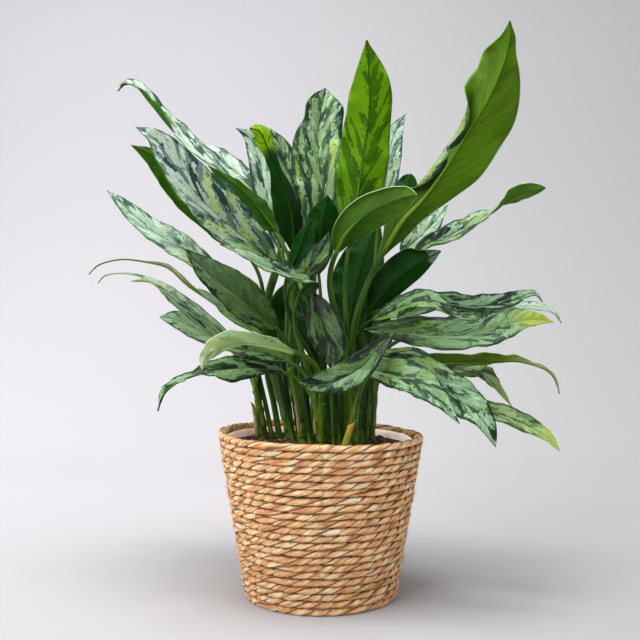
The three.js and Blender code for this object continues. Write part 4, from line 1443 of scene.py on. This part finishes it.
loose = bmesh.new()
for _ in range(FIBRES):
    angle, height = chance.uniform(0, 2 * math.pi), chance.uniform(4, 160)
    reach, climb = chance.uniform(3, 12), chance.uniform(-4, 5)
    lift = chance.uniform(0.6, 2.6)
    radius = basket_radius(height)
    places = []
    for step in range(5):
        share = step / 4
        out = -0.5 + lift * math.sin(share * 2.6)
        places.append(on_basket(angle + reach / radius * share, height + climb * share**1.5, out))
    pour(new_sliver(places, chance.uniform(0.16, 0.38)), loose)
finish_piece("basket_fibres", loose, [grass])
print("stitches:", stitch_count, "fibres:", FIBRES)

# %% [markdown]
# ## The liner
#
# A thin film keeps the basket dry. It was pushed in by hand, so it is creased, and its edge
# wanders up and down just below the rim. Light is painted on it: it glows a little all over, and
# its right side is painted lighter and whiter than its pinker left.

# %% Make the liner
LINER_INSET, LINER_FOOT, LINER_TOP, LINER_THICKNESS = 8.4, 8.8, 156, 0.4

# Painted light: the film glows with its own colour, though it is no lamp
film = Finish("liner_film", Specular_IOR_Level=0.3, Emission_Strength=0.3)
film_place = film.object_place()
film_x = film.parts(film_place)[0]
film_stain = film.noise(film_place, 60.0, 4, 0.7)
film_cloud = film.noise(film_place, 14.0)
# Painted light: the right of the film is painted lighter, where light falls on it; the pink is its
# own tone
film_painted_light = film.rises(film_x + (film_cloud - 0.5) * 0.06, -0.02, 0.06)
film_colour = film.mix(film_painted_light, paint(244, 208, 190), paint(255, 240, 228))
film_colour = film.mix(film.rises(film_stain, 0.5, 0.66) * 0.55, film_colour, paint(186, 150, 134))
film.colour(film_colour)
film.feed(film.shader.inputs["Emission Color"], film_colour)
film.roughness(0.5 + film_stain * 0.3)
film.relief(film.noise(film_place, 220.0, 4, 0.7), 0.0012, 0.7)


def liner_place(around, along):
    """Out from the middle of the foot and up the side"""
    angle = 2 * math.pi * around
    out = outwards(angle)
    if along < 0.1:
        place = out * (basket_radius(9) - LINER_INSET - 0.6) * along * 10
        return (leaned((place + Vector((0, 0, LINER_FOOT))) * MM),)
    rise = (along - 0.1) / 0.9
    edge = 0.9 * slow(angle, 5, 3) + 0.7 * slow(angle, 9, 8)
    height = blend(LINER_FOOT, LINER_TOP + edge - 0.6, rise)
    crease = noise.noise(Vector((math.cos(angle) * 9, math.sin(angle) * 9, height / 30)))
    crease += 0.6 * noise.noise(Vector((math.cos(angle) * 24, math.sin(angle) * 24, height / 9)))
    radius = basket_radius(height) - LINER_INSET - 0.4 - 1.1 * abs(crease) * ease(rise, 0, 0.1)
    return (leaned((out * radius + Vector((0, 0, height))) * MM),)


liner_shape = merge(new_sheet(liner_place, 240, 50, ()), 0.01)
liner = finish_piece("liner_film", liner_shape, [film], ["liner"])
thicken(liner, LINER_THICKNESS, offset=0)
print("liner ready")

# %% [markdown]
# ## The soil
#
# The soil fills the liner as one closed body with a rough top. Loose crumbs lie on it: dark lumps,
# and pale specks of bark and grit. They keep clear of the stems by a few millimetres.

# %% Make the soil
SOIL_FOOT, SOIL_INSET = 9.6, 9.8
SOIL_RIM, CRUMB_REACH, STEM_GAP = 91, 89, 2


def soil_finish(name, dark, light, speck):
    finish = Finish(name, Specular_IOR_Level=0.3)
    place = finish.object_place()
    coarse = finish.noise(place, 240.0, 5, 0.7)
    fine = finish.noise(place, 900.0, 4, 0.7)
    colour = finish.mix(finish.rises(coarse, 0.4, 0.64), paint(*dark), paint(*light))
    finish.colour(finish.mix(finish.rises(fine, 0.6, 0.65), colour, paint(*speck)))
    finish.roughness(0.75 + coarse * 0.2)
    finish.relief(coarse + fine * 0.5, 0.002)
    return finish


soil_dark = soil_finish("soil", (36, 24, 17), (104, 74, 54), (180, 148, 124))
soil_pale = soil_finish("soil_bark", (110, 78, 56), (176, 140, 116), (214, 190, 170))


def soil_height(x, y):
    """The top of the soil at a place, in millimetres"""
    place = Vector((x, y, 0))
    inward = min(1, (1 - math.hypot(x, y) / SOIL_RIM) * 6)
    waves = math.sin(x / 9) * math.cos(y / 11) + math.sin((x + y) / 6)
    lumps = 1.6 * noise.noise(place / 7) + 0.8 * noise.noise(place / 3)
    return SOIL_TOP + (1.4 * waves + lumps) * max(0, inward)


def soil_place(around, along):
    """From the middle of the foot outwards, up the side, and back in over the top"""
    out = outwards(2 * math.pi * around)
    if along <= 0.1:
        radius, height = (basket_radius(SOIL_FOOT) - SOIL_INSET) * along * 10, SOIL_FOOT
    elif along <= 0.2:
        height = blend(SOIL_FOOT, SOIL_TOP, along * 10 - 1)
        radius = basket_radius(height) - SOIL_INSET
    else:
        radius = (basket_radius(SOIL_TOP) - SOIL_INSET) * (1 - along) / 0.8
        place = out * radius
        height = soil_height(place.x, place.y)
    return (leaned((out * radius + Vector((0, 0, height))) * MM),)


soil_shape = close_up(new_sheet(soil_place, 150, 60, ()), 0.01)
finish_piece("soil_bed", soil_shape, [soil_dark], ["soil"])

feet = [(*stem["foot"], stem["radius"]) for stem in stems.values()] + [(*STUB_FOOT, STUB_RADIUS)]


def new_crumb(place, size):
    crumb = bmesh.new()
    bmesh.ops.create_icosphere(crumb, subdivisions=1, radius=size * MM)
    stretch = Vector([chance.uniform(*ends) for ends in ((0.6, 1.3), (0.6, 1.3), (0.5, 0.9))])
    for corner in crumb.verts:
        corner.co = corner.co * stretch * chance.uniform(0.75, 1.2) + place
    return crumb


for name, count, sizes, look in (
    ("crumbs", 1500, (0.7, 2.6), soil_dark), ("bark", 220, (0.5, 1.5), soil_pale),
):
    pile = bmesh.new()
    placed_count = 0
    while placed_count < count:
        angle, reach = chance.uniform(0, 2 * math.pi), CRUMB_REACH * math.sqrt(chance.random())
        x, y = math.sin(angle) * reach, -math.cos(angle) * reach
        if any(math.hypot(x - left, y - deep) < radius + STEM_GAP for left, deep, radius in feet):
            continue
        size = chance.uniform(*sizes) * min(1, (SOIL_RIM + 1 - reach) / 4 + 0.3)
        place = leaned(Vector((x, y, soil_height(x, y) + size * 0.2)) * MM)
        pour(new_crumb(place, size), pile)
        placed_count += 1
    finish_piece(f"soil_{name}", pile, [look], smooth=False)
    print(name, "on the soil:", count)

# %% [markdown]
# ## The size
#
# The dressed model should stay within the CAD part. Both boxes are printed.

# %% Print both boxes
dressed_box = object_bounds()
sizes = {
    "cad": [[float(value) for value in corner] for corner in cad_box],
    "dressed": [[float(value) for value in corner] for corner in dressed_box],
}
print(sizes)
